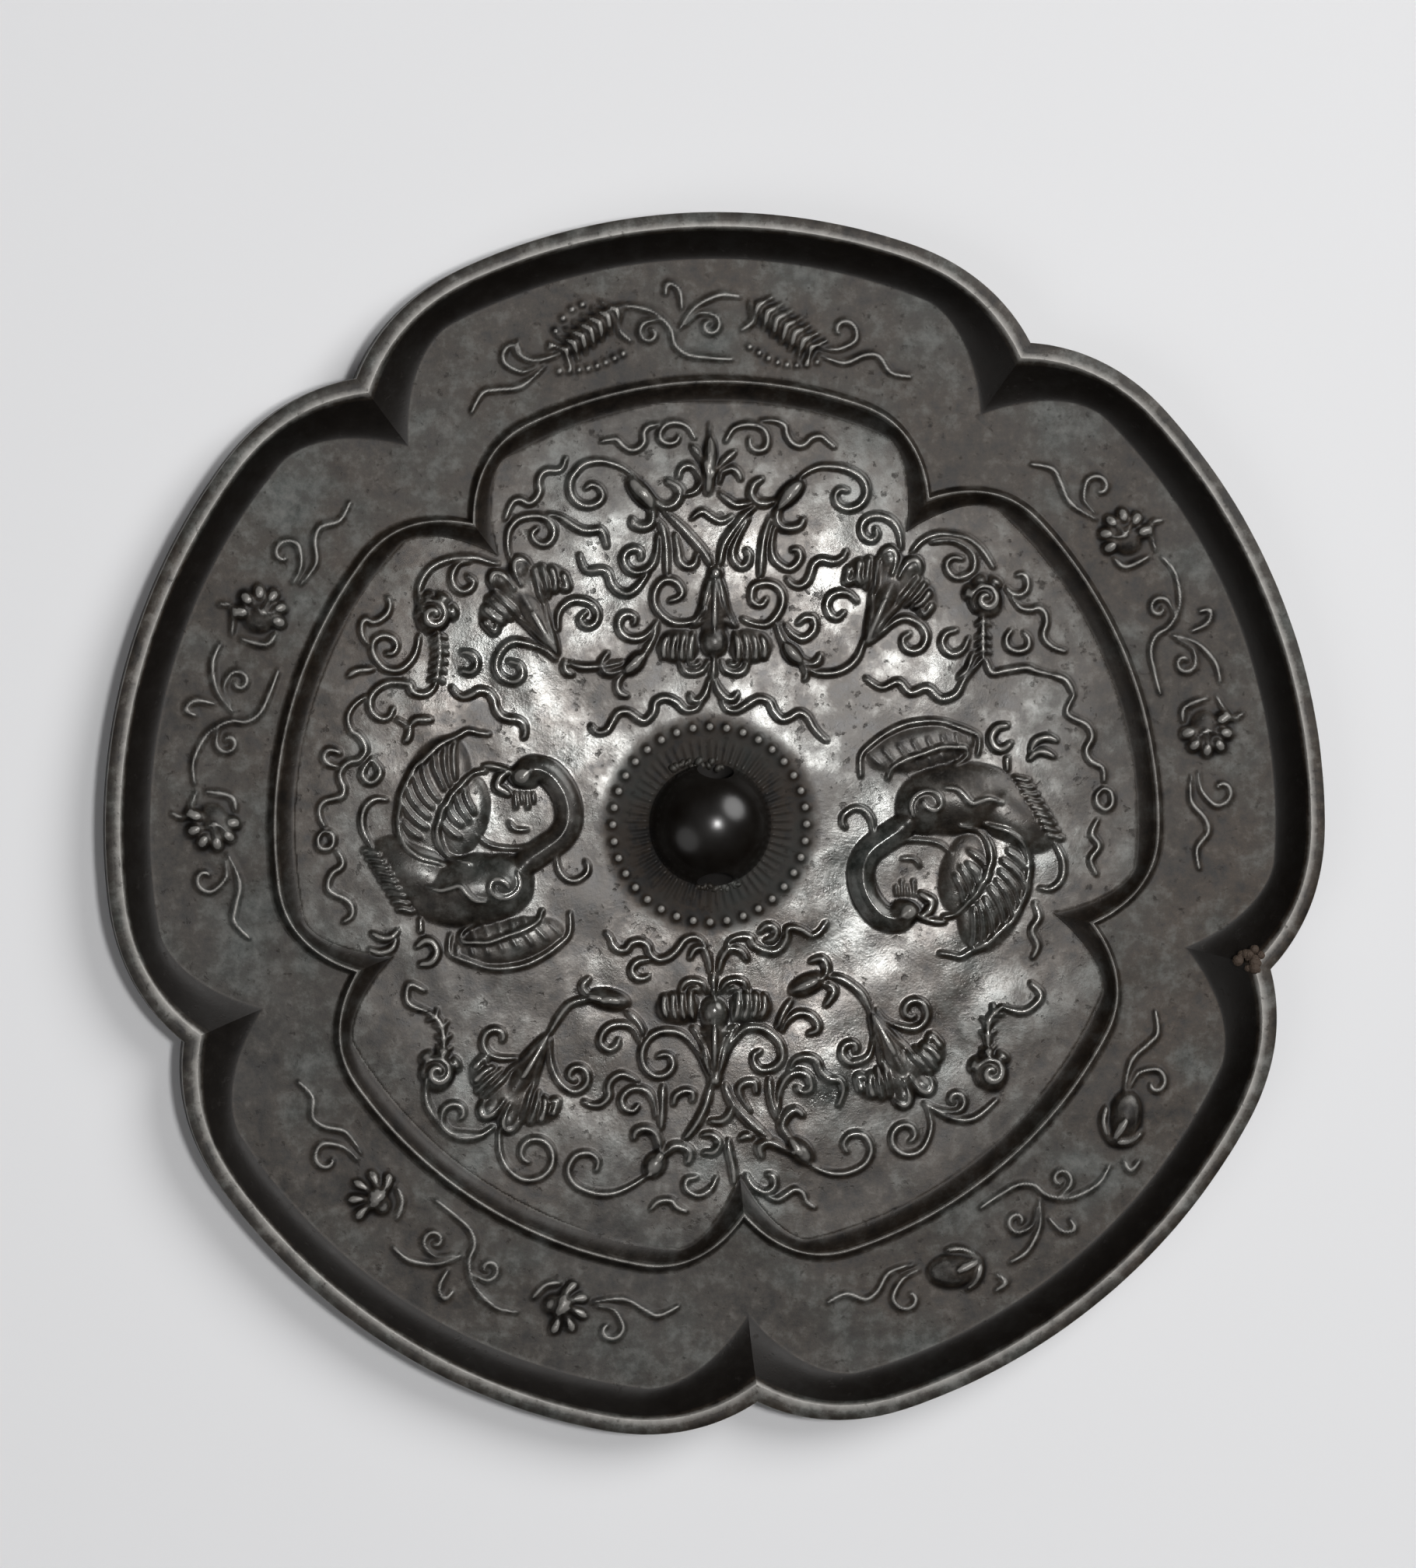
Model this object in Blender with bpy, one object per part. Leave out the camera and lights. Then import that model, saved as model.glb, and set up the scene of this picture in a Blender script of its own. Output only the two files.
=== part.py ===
"""Five-lobed bronze mirror, cast in one piece and lying on its polished face.

The decorated back looks up (+Z) and +Y is the top of the design.  Lengths are in metres.
The ornament is drawn in millimetres on a mirror whose inner ridge has a radius of
DRAWN_RIDGE; the drawing follows the ridge and the border when their sizes change.
"""

import math

import bmesh
import bpy
from mathutils import Matrix, Vector

LOBES = 5
FIRST_CUSP = math.radians(57.4)
STEPS_PER_LOBE = 14
CUSP_CROWDING = 0.085

RIM_RADIUS = 0.0995
RIM_CUSP_DEPTH = 0.0060
RIM_WIDTH = 0.0025
RIM_HEIGHT = 0.0080
FACE_FLARE = 0.0003
FACE_CHAMFER = 0.0005
RIM_CUSP_SPAN = math.radians(15.0)
RIM_CUSP_POWER = 2.3

COVE_RUN = 0.0050
COVE_HOLLOW = 0.0012
SPUR_LENGTH = 0.0110
SPUR_SPAN = math.radians(11.0)
SPUR_POWER = 1.7

BORDER_HEIGHT = 0.0030
RIDGE_RADIUS = 0.0723
RIDGE_CUSP_DEPTH = 0.0089
RIDGE_CUSP_SPAN = math.radians(14.0)
RIDGE_CUSP_POWER = 2.2
RIDGE_HEIGHT = 0.0048
RIDGE_OUTER_RUN = 0.0013
RIDGE_INNER_RUN = 0.0031
RIDGE_INNER_HOLLOW = 0.0008
CREASE_LENGTH = 0.0064
CREASE_SPAN = math.radians(9.0)
CREASE_POWER = 1.6
INNER_HEIGHT = 0.0026

KNOB_X = -0.0015
KNOB_Y = 0.0003
KNOB_RADIUS = 0.0100
KNOB_RISE = 0.0085
CORD_HOLE_WIDTH = 0.0060
CORD_HOLE_HEIGHT = 0.0052
CORD_HOLE_FLOOR = 0.0003
CORD_HOLE_X = -0.0010
CORD_ARCH_SHARE = 0.42

BEAD_COUNT = 36
BEAD_RING_RADIUS = 0.0161
BEAD_RADIUS = 0.00065

VINE_THICKNESS = 0.00075
RELIEF_SINK = 0.00010
SCROLL_STEPS = 5
SCROLL_EYE = 0.40
LENS_RINGS = 4
RELIEF_SOLVER = "MANIFOLD"
LIGHTER_RATIO = 0.86
CORROSION_RADIUS = 0.0016
CORROSION_ANGLE = math.radians(-14.0)

DRAWN_RIDGE = 72.3
DRAWN_BORDER_RADIUS = 82.0
DRAWN_BORDER_WIDTH = 19.5
DRAWN_BORDER_SHIFT = 0.2
DRAWN_BORDER_SPREAD = 1.06
BORDER_MIDS = (21.4, 93.4, 165.4, 237.4, 309.4)
PHOENIX_TURN_CENTRE = (-0.65, -2.85)

BRONZE_COLOUR = (0.055, 0.048, 0.040, 1.0)
BRONZE_ROUGHNESS = 0.38
BRONZE_METALLIC = 0.85


def clear_scene():
    for item in list(bpy.data.objects):
        bpy.data.objects.remove(item, do_unlink=True)


def new_collection(name):
    collection = bpy.data.collections.new(name)
    bpy.context.scene.collection.children.link(collection)
    return collection


def new_object(name, mesh, collection):
    thing = bpy.data.objects.new(name, mesh)
    collection.objects.link(thing)
    return thing


def mesh_from(name, shape):
    mesh = bpy.data.meshes.new(name)
    bmesh.ops.recalc_face_normals(shape, faces=shape.faces)
    shape.to_mesh(mesh)
    shape.free()
    return mesh


def bronze():
    material = bpy.data.materials.new("dark_bronze")
    material.use_nodes = True
    shader = material.node_tree.nodes["Principled BSDF"]
    shader.inputs["Base Color"].default_value = BRONZE_COLOUR
    shader.inputs["Roughness"].default_value = BRONZE_ROUGHNESS
    shader.inputs["Metallic"].default_value = BRONZE_METALLIC
    return material


def lobe_angles():
    """Angles round the mirror, closer together near the cusps between the lobes."""
    angles = []
    for lobe in range(LOBES):
        for step in range(STEPS_PER_LOBE):
            share = step / STEPS_PER_LOBE
            crowded = share - CUSP_CROWDING * math.sin(2.0 * math.pi * share)
            angles.append(FIRST_CUSP + 2.0 * math.pi * (lobe + crowded) / LOBES)
    return angles


def lobed_radius(angle, radius, depth, span, power):
    """Radius of a lobed outline, drawn in towards the centre at each cusp."""
    turn = 2.0 * math.pi / LOBES
    from_cusp = (angle - FIRST_CUSP + turn / 2.0) % turn - turn / 2.0
    near = max(0.0, 1.0 - abs(from_cusp) / span)
    return radius - depth * near ** power


def lobed_ring(radius, depth, span, power, height):
    ring = []
    for angle in lobe_angles():
        reach = lobed_radius(angle, radius, depth, span, power)
        ring.append((reach * math.cos(angle), reach * math.sin(angle), height))
    return ring


def cast_rings():
    """Sections of the casting from the middle of its face, round the rim, to the inner field."""
    rim_inner = RIM_RADIUS - RIM_WIDTH
    rim_depth = RIM_CUSP_DEPTH + 0.28 * RIM_WIDTH
    cove_foot = rim_inner - COVE_RUN
    cove_mid = rim_inner - 0.66 * COVE_RUN
    cove_mid_height = (RIM_HEIGHT + BORDER_HEIGHT) / 2.0 - COVE_HOLLOW
    ridge_foot = RIDGE_RADIUS - RIDGE_INNER_RUN
    ridge_mid = RIDGE_RADIUS - 0.55 * RIDGE_INNER_RUN
    ridge_mid_height = (RIDGE_HEIGHT + INNER_HEIGHT) / 2.0 - RIDGE_INNER_HOLLOW * 0.5
    crease_depth = RIDGE_CUSP_DEPTH + CREASE_LENGTH - RIDGE_INNER_RUN
    spur_depth = rim_depth + SPUR_LENGTH - COVE_RUN
    rim = (RIM_CUSP_DEPTH, RIM_CUSP_SPAN, RIM_CUSP_POWER)
    ridge = (RIDGE_CUSP_DEPTH, RIDGE_CUSP_SPAN, RIDGE_CUSP_POWER)
    return [
        lobed_ring(RIM_RADIUS + FACE_FLARE - FACE_CHAMFER, *rim, 0.0),
        lobed_ring(RIM_RADIUS + FACE_FLARE, *rim, FACE_CHAMFER),
        lobed_ring(RIM_RADIUS, *rim, RIM_HEIGHT),
        lobed_ring(rim_inner, rim_depth, RIM_CUSP_SPAN, RIM_CUSP_POWER, RIM_HEIGHT),
        lobed_ring(cove_mid, (rim_depth + spur_depth) / 2.0, (RIM_CUSP_SPAN + SPUR_SPAN) / 2.0,
                   (RIM_CUSP_POWER + SPUR_POWER) / 2.0, cove_mid_height),
        lobed_ring(cove_foot, spur_depth, SPUR_SPAN, SPUR_POWER, BORDER_HEIGHT),
        lobed_ring(RIDGE_RADIUS + RIDGE_OUTER_RUN, *ridge, BORDER_HEIGHT),
        lobed_ring(RIDGE_RADIUS, *ridge, RIDGE_HEIGHT),
        lobed_ring(ridge_mid, (RIDGE_CUSP_DEPTH + crease_depth) / 2.0, (RIDGE_CUSP_SPAN + CREASE_SPAN) / 2.0,
                   (RIDGE_CUSP_POWER + CREASE_POWER) / 2.0, ridge_mid_height),
        lobed_ring(ridge_foot, crease_depth, CREASE_SPAN, CREASE_POWER, INNER_HEIGHT),
    ]


def dish(collection):
    """The plain casting: flat face, standing rim, coves, border field, ridge and inner field."""
    shape = bmesh.new()
    rings = [[shape.verts.new(point) for point in ring] for ring in cast_rings()]
    count = len(rings[0])
    for lower, upper in zip(rings, rings[1:]):
        for i in range(count):
            j = (i + 1) % count
            shape.faces.new((lower[i], lower[j], upper[j], upper[i]))
    shape.faces.new(rings[0])
    shape.faces.new(rings[-1])
    return new_object("bronze_mirror", mesh_from("bronze_mirror", shape), collection)


def centre_point(x, y):
    """A drawn point of the inner field, as a place on the mirror."""
    scale = RIDGE_RADIUS / DRAWN_RIDGE
    return (x * scale, y * scale, INNER_HEIGHT - RELIEF_SINK)


def border_point(lobe, along, outward):
    """A drawn point of a border lobe: clockwise along its middle line, and outward from it."""
    outer = RIM_RADIUS - RIM_WIDTH - COVE_RUN
    inner = RIDGE_RADIUS + RIDGE_OUTER_RUN
    middle = (outer + inner) / 2.0
    scale = (outer - inner) / DRAWN_BORDER_WIDTH * DRAWN_BORDER_SPREAD
    reach = middle + (outward - DRAWN_BORDER_SHIFT) * scale
    angle = math.radians(BORDER_MIDS[lobe]) - along / DRAWN_BORDER_RADIUS
    return (reach * math.cos(angle), reach * math.sin(angle), BORDER_HEIGHT - RELIEF_SINK)


def pairs(numbers):
    return list(zip(numbers[0::2], numbers[1::2]))


def eased(points, steps):
    """A smooth path through the points, with the given steps between neighbours."""
    if len(points) < 3 or steps < 2:
        return list(points)
    path = []
    last = len(points) - 1
    for i in range(last):
        a = Vector(points[max(i - 1, 0)])
        b = Vector(points[i])
        c = Vector(points[i + 1])
        d = Vector(points[min(i + 2, last)])
        for step in range(steps):
            t = step / steps
            spot = 2.0 * b + (c - a) * t
            spot += (2.0 * a - 5.0 * b + 4.0 * c - d) * t * t
            spot += (3.0 * b - a - 3.0 * c + d) * t ** 3
            path.append(tuple(spot / 2.0))
    path.append(points[-1])
    return path


def scrolled(points, centre_x, centre_y, turns):
    """The points, with a scroll after them that winds in about its centre."""
    start_x, start_y = points[-1]
    radius = math.hypot(start_x - centre_x, start_y - centre_y)
    angle = math.atan2(start_y - centre_y, start_x - centre_x)
    steps = max(3, round(abs(turns) * SCROLL_STEPS))
    path = list(points)
    for step in range(1, steps + 1):
        share = step / steps
        reach = radius * (1.0 - (1.0 - SCROLL_EYE) * share)
        turned = angle + 2.0 * math.pi * turns * share
        path.append((centre_x + reach * math.cos(turned), centre_y + reach * math.sin(turned)))
    return path


def near(boxes, others):
    """Whether any box of the first list overlaps one of the second."""
    return any(a[0] < b[2] and b[0] < a[2] and a[1] < b[3] and b[1] < a[3] for a in boxes for b in others)


class Relief:
    """Gathers the raised strokes and swellings of the ornament before they join the casting."""

    def __init__(self, place):
        self.place = place
        self.pieces = []

    def keep(self, kind, shape, points, reach):
        """Puts a piece in the first layer in which nothing else comes near it."""
        boxes = []
        for a, b in zip(points, points[1:]):
            boxes.append((min(a[0], b[0]) - reach, min(a[1], b[1]) - reach,
                          max(a[0], b[0]) + reach, max(a[1], b[1]) + reach))
        layer = 0
        while any(near(boxes, other) for at, _, _, other in self.pieces if at == layer):
            layer += 1
        self.pieces.append((layer, kind, shape, boxes))

    def layers(self):
        return 1 + max(piece[0] for piece in self.pieces)

    def in_layer(self, layer, kind):
        return [shape for at, sort, shape, _ in self.pieces if at == layer and sort == kind]

    def vine(self, *numbers, scroll=None, thick=1.0, ends=(0.6, 0.6), steps=1):
        path = eased(pairs(numbers), steps)
        if scroll:
            path = scrolled(path, *scroll)
        last = len(path) - 1
        sized = []
        for i, point in enumerate(path):
            share = i / last
            taper = ends[0] + (1.0 - ends[0]) * min(1.0, share * 3.0)
            taper = min(taper, ends[1] + (1.0 - ends[1]) * min(1.0, (1.0 - share) * 3.0))
            sized.append((self.place(*point), taper * thick))
        self.keep("stroke", sized, [place for place, _ in sized], thick * VINE_THICKNESS)

    def swelling(self, x, y, length, width, heading, rise, sides=8):
        """A half-sunk lens whose long axis has the given heading in degrees."""
        ahead = math.radians(heading)
        tip = (x + length / 2.0 * math.cos(ahead), y + length / 2.0 * math.sin(ahead))
        tail = (x - length / 2.0 * math.cos(ahead), y - length / 2.0 * math.sin(ahead))
        side = (x - width / 2.0 * math.sin(ahead), y + width / 2.0 * math.cos(ahead))
        middle = Vector(self.place(x, y))
        along = (Vector(self.place(*tip)) - Vector(self.place(*tail))) / 2.0
        across = Vector(self.place(*side)) - middle
        lens = (middle, along, across, rise / 1000.0, sides)
        self.keep("swelling", lens, [middle - along, middle + along], across.length)


def lily(relief, tip_x, tip_y, mouth_x, mouth_y):
    """A trumpet lily: narrow throat at the tip, fanned petals and a calyx at the mouth."""
    length = math.hypot(mouth_x - tip_x, mouth_y - tip_y)
    ahead_x = (mouth_x - tip_x) / length
    ahead_y = (mouth_y - tip_y) / length
    heading = math.degrees(math.atan2(ahead_y, ahead_x))

    def spot(along, across):
        return (tip_x + along * ahead_x - across * ahead_y, tip_y + along * ahead_y + across * ahead_x)

    relief.swelling(*spot(0.42 * length, 0.0), 0.84 * length, 3.4, heading, 1.5)
    relief.swelling(*spot(0.72 * length, 0.0), 0.40 * length, 6.0, heading, 1.2)
    for side in (-1.0, 1.0):
        relief.vine(*spot(length, 0.0), *spot(0.84 * length, side * 3.0), thick=1.3)
        for finger in range(2):
            root = spot((0.50 + 0.04 * finger) * length, side * 2.4)
            end = spot((0.74 - 0.10 * finger) * length, side * (4.4 + 2.6 * finger))
            relief.vine(*root, *end, thick=1.1, ends=(0.6, 0.9))


def phoenix(relief, turned):
    """A phoenix with its neck bent back over its body, drawn once and turned for its mate."""

    def spot(x, y):
        if turned:
            return (2.0 * PHOENIX_TURN_CENTRE[0] - x, 2.0 * PHOENIX_TURN_CENTRE[1] - y)
        return (x, y)

    def stroke(*numbers, **settings):
        if settings.get("scroll"):
            centre = spot(*settings["scroll"][:2])
            settings["scroll"] = (*centre, settings["scroll"][2])
        flat = [value for point in pairs(numbers) for value in spot(*point)]
        relief.vine(*flat, **settings)

    def mass(x, y, length, width, heading, rise, sides=10):
        relief.swelling(*spot(x, y), length, width, heading, rise, sides)

    mass(-38.5, -10.6, 17.0, 9.0, 4, 2.3, 12)
    mass(-48.0, -9.0, 19.0, 7.5, -28, 1.6, 10)
    mass(-45.5, 4.5, 13.0, 18.0, 20, 1.1, 12)
    mass(-41.5, 1.0, 9.0, 9.5, 10, 1.5, 10)
    mass(-32.3, 7.8, 5.2, 3.6, -25, 1.9, 8)
    stroke(-33.5, 8.8, -29.6, 8.6, -27.0, 5.8, -26.3, 2.2, -27.6, -1.6, -31.0, -4.6, -35.5, -8.0,
           thick=2.5, ends=(0.9, 1.0), steps=2)
    stroke(-34.5, 9.2, -37.0, 10.2, -38.8, 10.4, thick=1.1)
    stroke(-36.6, 7.2, -35.2, 6.4, -34.2, 5.2, thick=1.0)
    for share in range(8):
        swing = math.radians(104.0 + 14.5 * share)
        root = (-42.6 + 3.6 * math.cos(swing), 2.2 + 4.4 * math.sin(swing))
        end = (-42.6 + 9.6 * math.cos(swing), 2.2 + 12.8 * math.sin(swing))
        stroke(*root, *end, thick=0.9, ends=(0.7, 0.9))
    for share in range(4):
        swing = math.radians(122.0 + 23.0 * share)
        root = (-39.4 + 1.6 * math.cos(swing), 0.2 + 2.4 * math.sin(swing))
        end = (-39.4 + 6.4 * math.cos(swing), 0.2 + 8.4 * math.sin(swing))
        stroke(*root, *end, thick=0.9, ends=(0.7, 0.9))
    mass(-36.0, -18.9, 15.5, 4.6, 8, 1.0, 10)
    for share in range(7):
        x = -41.4 + 2.3 * share
        lift = 0.13 * (x + 36.0) + 0.012 * (x + 36.0) ** 2
        stroke(x, -17.8 + lift, x + 0.5, -20.9 + lift, thick=0.9, ends=(0.7, 0.9))
    stroke(-42.6, -17.9, -38.6, -18.4, -34.0, -17.1, -29.6, -15.0, thick=0.9)
    stroke(-43.0, -19.8, -39.4, -22.0, -35.0, -22.5, -29.6, -20.8, -25.4, -17.2, thick=0.9)
    stroke(-32.7, -7.4, -32.8, -9.3, scroll=(-35.0, -9.3, -1.0), thick=1.6)
    stroke(-47.2, -8.6, -43.4, -8.6, -41.0, -10.8, -38.0, -11.4, thick=1.9)
    for feather in range(7):
        stroke(-57.0 + 0.75 * feather, -3.6 - 1.15 * feather, -53.6 + 0.75 * feather, -4.6 - 1.05 * feather,
               thick=0.8)
    stroke(-55.0, 5.1, -57.4, 4.5, -58.1, 2.4, -57.6, -0.8, -56.2, -3.0, thick=1.1)
    stroke(-56.2, -16.4, -53.2, -17.2, thick=1.1)
    stroke(-57.0, -18.8, -54.4, -19.4, -52.6, -17.6, -52.8, -13.0, thick=1.2)
    stroke(-49.2, -17.3, -47.4, -17.4, -47.0, -19.2, -48.6, -21.2, thick=1.2)
    stroke(-26.6, -3.6, -26.8, -6.0, -25.4, -7.9, -22.2, -7.2, thick=0.9)


def centre_sprays(relief):
    """The flower scrolls above, below and beside the knob."""
    vine = relief.vine
    vine(-14.0, 57.0, -16.5, 58.6, -20.0, 59.4, scroll=(-21.2, 54.8, 1.2))
    vine(12.7, 56.6, 15.0, 58.2, 19.0, 58.6, scroll=(20.8, 54.6, -1.2))
    vine(-13.8, 56.3, -11.6, 52.5, -11.2, 50.0, -12.5, 48.8, -14.3, 49.4, thick=1.4)
    vine(-12.3, 54.6, -10.2, 52.2, -7.8, 52.4, -6.8, 54.0, thick=1.4)
    vine(12.4, 56.0, 10.2, 52.4, 9.6, 50.0, 10.8, 48.8, 13.0, 49.2, thick=1.4)
    vine(10.8, 54.6, 8.6, 53.0, 6.6, 53.2, 5.4, 55.4, thick=1.4)
    vine(-10.9, 49.6, -9.0, 46.5, -8.5, 40.4)
    vine(-9.8, 51.3, -5.6, 47.3, -1.4, 42.5)
    vine(6.0, 52.2, 2.2, 48.8, -0.2, 43.5)
    vine(8.2, 50.2, 6.8, 46.0, 7.2, 40.0)
    vine(-10.5, 47.5, -10.3, 45.0, scroll=(-13.6, 43.6, -0.95))
    vine(8.6, 47.5, 8.4, 44.8, scroll=(11.2, 43.9, 0.95))
    vine(-2.7, 35.4, -4.4, 33.5, -6.4, 33.1, scroll=(-8.2, 37.4, -1.1))
    vine(3.2, 34.4, 6.0, 33.0, scroll=(7.7, 36.9, 1.1))
    vine(9.3, 33.0, 12.3, 27.8, 14.4, 24.2)
    vine(12.4, 28.4, 15.5, 25.5, 19.6, 25.8, 23.2, 29.4)
    vine(-3.0, 61.5, -4.6, 64.6, -7.7, 65.7, scroll=(-8.4, 63.7, 0.8))
    vine(0.8, 62.6, 2.6, 65.0, 5.4, 65.6, scroll=(6.3, 63.4, -0.8))
    relief.swelling(-1.3, 59.5, 9.0, 2.4, 90, 1.2)
    relief.swelling(-13.4, 55.0, 5.6, 3.4, -52, 1.5)
    relief.swelling(11.6, 55.2, 5.6, 3.4, 228, 1.5)
    vine(-35.6, 42.5, -40.0, 43.8, -45.0, 43.2, -48.4, 40.6, -49.0, 37.0)
    vine(-49.0, 34.0, -49.3, 28.6, -50.8, 26.3, scroll=(-53.9, 28.7, -1.1))
    vine(-33.9, 43.3, -34.6, 46.0, -33.2, 49.2, -31.0, 50.4, scroll=(-29.2, 47.7, -0.9))
    vine(-26.6, 27.2, -29.5, 29.2, -32.8, 30.1, scroll=(-34.0, 26.9, 1.0))
    vine(-26.2, 30.0, -26.8, 33.6, -24.8, 36.6, scroll=(-22.6, 34.5, -1.0))
    vine(-46.4, 31.0, -46.2, 24.0, -48.8, 21.6, -51.3, 23.3, -55.4, 23.0, -56.9, 20.0, -55.2, 17.6,
         -53.3, 19.2)
    vine(-57.9, 21.3, -60.8, 18.0, -58.0, 14.2, -58.4, 11.4, -62.0, 9.4, -61.4, 5.6, -65.0, 3.6, -64.2, 0.0)
    relief.swelling(-46.9, 35.0, 5.6, 4.6, 80, 1.3)
    vine(31.5, 45.1, 36.0, 47.8, 42.0, 46.4, 45.2, 42.4, 45.6, 39.8)
    vine(29.9, 45.5, 29.5, 48.3, 28.0, 50.3, 25.8, 50.8, scroll=(25.0, 48.4, 0.9))
    vine(23.6, 31.0, 23.2, 36.2, scroll=(20.3, 36.0, 1.0))
    vine(43.5, 35.0, 43.6, 27.0, 46.0, 25.0, 50.5, 25.8, 55.0, 24.2, 58.4, 21.4, 57.2, 18.2, 61.0, 16.4)
    relief.swelling(43.9, 37.4, 5.6, 4.6, 95, 1.3)
    vine(-2.0, -40.3, -3.4, -37.3, -5.4, -34.6, -8.0, -33.3, scroll=(-9.9, -37.3, 1.3))
    vine(0.6, -40.3, 0.9, -37.0, 4.0, -33.2, 6.6, -32.7, scroll=(7.9, -36.8, -1.25))
    vine(-1.8, -43.5, -2.8, -47.0, -5.8, -50.8)
    vine(0.8, -42.0, 3.4, -46.2, 8.2, -51.0)
    vine(-10.6, -48.0, -10.8, -45.0, -12.0, -42.9, scroll=(-14.2, -44.2, 1.0))
    vine(9.7, -46.5, 9.6, -43.6, 10.8, -41.1, scroll=(12.8, -42.5, -1.0))
    vine(-13.8, -50.0, -12.0, -49.0, -10.0, -50.8, -10.5, -54.2, thick=1.4)
    vine(-10.5, -54.8, -8.5, -53.0, -6.6, -52.3, -4.9, -53.8, thick=1.4)
    vine(13.4, -46.6, 11.2, -47.3, 10.6, -50.0, 13.2, -53.6, thick=1.4)
    vine(6.6, -54.0, 6.9, -52.3, 9.3, -52.3, 12.8, -54.2, thick=1.4)
    vine(-11.8, -56.5, -14.0, -58.4, -17.0, -59.5, -20.0, -59.3, scroll=(-20.8, -55.6, -1.2))
    vine(14.4, -55.3, 16.8, -56.7, 20.0, -57.1, scroll=(22.0, -52.8, 1.2))
    relief.swelling(-11.0, -55.2, 4.4, 3.2, 60, 1.5)
    relief.swelling(13.4, -54.0, 4.4, 3.2, 120, 1.5)
    relief.swelling(-18.0, -28.0, 6.4, 3.0, -10, 1.3)
    relief.swelling(14.6, -26.6, 6.8, 3.0, 22, 1.3)
    vine(-20.2, -27.6, -24.6, -28.6, -27.8, -33.4)
    vine(17.4, -24.3, 21.6, -25.6, 24.9, -30.2)
    vine(-36.0, -49.0, -35.9, -52.5, -34.6, -55.4, scroll=(-30.6, -53.2, 1.1))
    vine(-47.9, -40.5, -47.6, -45.0, -44.0, -49.7, -40.0, -50.3, -37.0, -48.7)
    vine(-45.2, -37.0, -45.2, -32.0, -47.6, -29.8, -50.8, -28.3, -50.6, -25.4, -48.1, -26.4)
    relief.swelling(-46.0, -39.6, 6.0, 4.6, 75, 1.3)
    vine(25.8, -30.0, 27.5, -31.9, 30.5, -33.0, scroll=(31.9, -30.4, 1.1))
    vine(34.2, -45.8, 35.0, -49.0, 34.0, -52.2, scroll=(30.9, -50.8, -1.1))
    vine(33.7, -45.3, 38.0, -47.8, 42.0, -48.0, 45.8, -45.0)
    vine(44.5, -38.0, 44.5, -31.6, 46.6, -29.7, 50.4, -30.5, 53.2, -28.0, 51.4, -25.8)
    relief.swelling(44.9, -40.4, 6.4, 4.6, 100, 1.3)


def bead_ring(relief):
    """Beads round the knob."""
    scale = DRAWN_RIDGE / RIDGE_RADIUS
    for bead in range(BEAD_COUNT):
        angle = 2.0 * math.pi * bead / BEAD_COUNT
        x = (KNOB_X + BEAD_RING_RADIUS * math.cos(angle)) * scale
        y = (KNOB_Y + BEAD_RING_RADIUS * math.sin(angle)) * scale
        size = 2.0 * BEAD_RADIUS * scale
        relief.swelling(x, y, size, size, 0, 0.75, 4)


def border_vine(relief, flowers):
    """The running vine that the border lobes share, with a blossom either side of its middle."""
    vine = relief.vine
    vine(-14.0, 3.4, -10.5, 4.0, -6.0, 2.4, -3.4, -0.6, -2.8, -3.4, -0.6, -5.2, 3.4, -5.8, 7.0, -6.0)
    vine(-1.9, -1.0, 0.8, 2.4, 4.8, 4.4, 8.0, 4.2)
    vine(-1.2, 2.2, -1.4, 5.4, -3.6, 6.0)
    vine(-26.0, -1.6, -28.8, -1.6, -30.8, 0.6, scroll=(-28.8, 1.6, -0.7))
    vine(-25.0, -2.0, -30.0, -3.6, -34.0, -2.4, -36.4, -1.8, -39.6, -3.6, thick=1.1)
    vine(21.6, -2.2, 24.6, -2.0, 27.2, 0.0, scroll=(25.0, 1.2, 0.7))
    vine(22.0, -3.4, 26.4, -3.8, 29.4, -1.6, 31.8, -1.0, 34.6, -2.8, 38.0, -2.2, thick=1.1)
    if flowers == "ferns":
        ferns(relief)
        return
    for side, x in ((-1.0, -20.0), (1.0, 14.8)):
        if flowers == "pods":
            relief.swelling(x + 1.6 * side, 0.6, 11.0, 5.8, -24.0 * side, 1.6, 10)
            vine(x - 4.0 * side, 4.6, x - 4.6 * side, 6.6, x - 2.6 * side, 6.8, thick=1.2)
            continue
        relief.swelling(x, -0.2, 8.0, 4.2, -25.0 * side, 1.5)
        for petal in range(3):
            swing = math.radians(-62.0 + 62.0 * petal)
            relief.swelling(x + side * 3.8 * math.cos(swing), -0.2 + 3.6 * math.sin(swing), 3.4, 2.4,
                            math.degrees(swing) if side > 0 else 180.0 - math.degrees(swing), 1.2, 6)
        vine(x - 5.0 * side, 1.6, x - 4.4 * side, -2.6, x - 2.0 * side, -3.4, thick=1.2)


def ferns(relief):
    """Two fern-like blooms with rows of beads, on the top lobe."""
    relief.swelling(-16.2, 1.4, 11.6, 4.4, 24, 1.3, 10)
    relief.swelling(15.6, 0.2, 12.4, 4.6, -30, 1.3, 10)
    for bead in range(4):
        relief.swelling(-13.4 - 2.4 * bead, -3.4 - 0.9 * math.sin(math.pi * bead / 3.0), 1.3, 1.3, 0, 0.7, 5)
        relief.swelling(11.0 + 2.8 * bead, -3.4 - 2.6 * math.sin(math.pi * bead / 4.0), 1.3, 1.3, 0, 0.7, 5)
    relief.vine(-22.0, -1.0, -26.4, -0.6, -28.5, 1.8, -27.6, 3.2, thick=1.5)
    relief.vine(-10.3, 4.0, -11.8, 0.8, -10.0, -1.9, thick=1.3)
    relief.vine(9.5, 3.6, 10.3, 0.6, 8.4, -1.2, thick=1.3)


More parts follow.
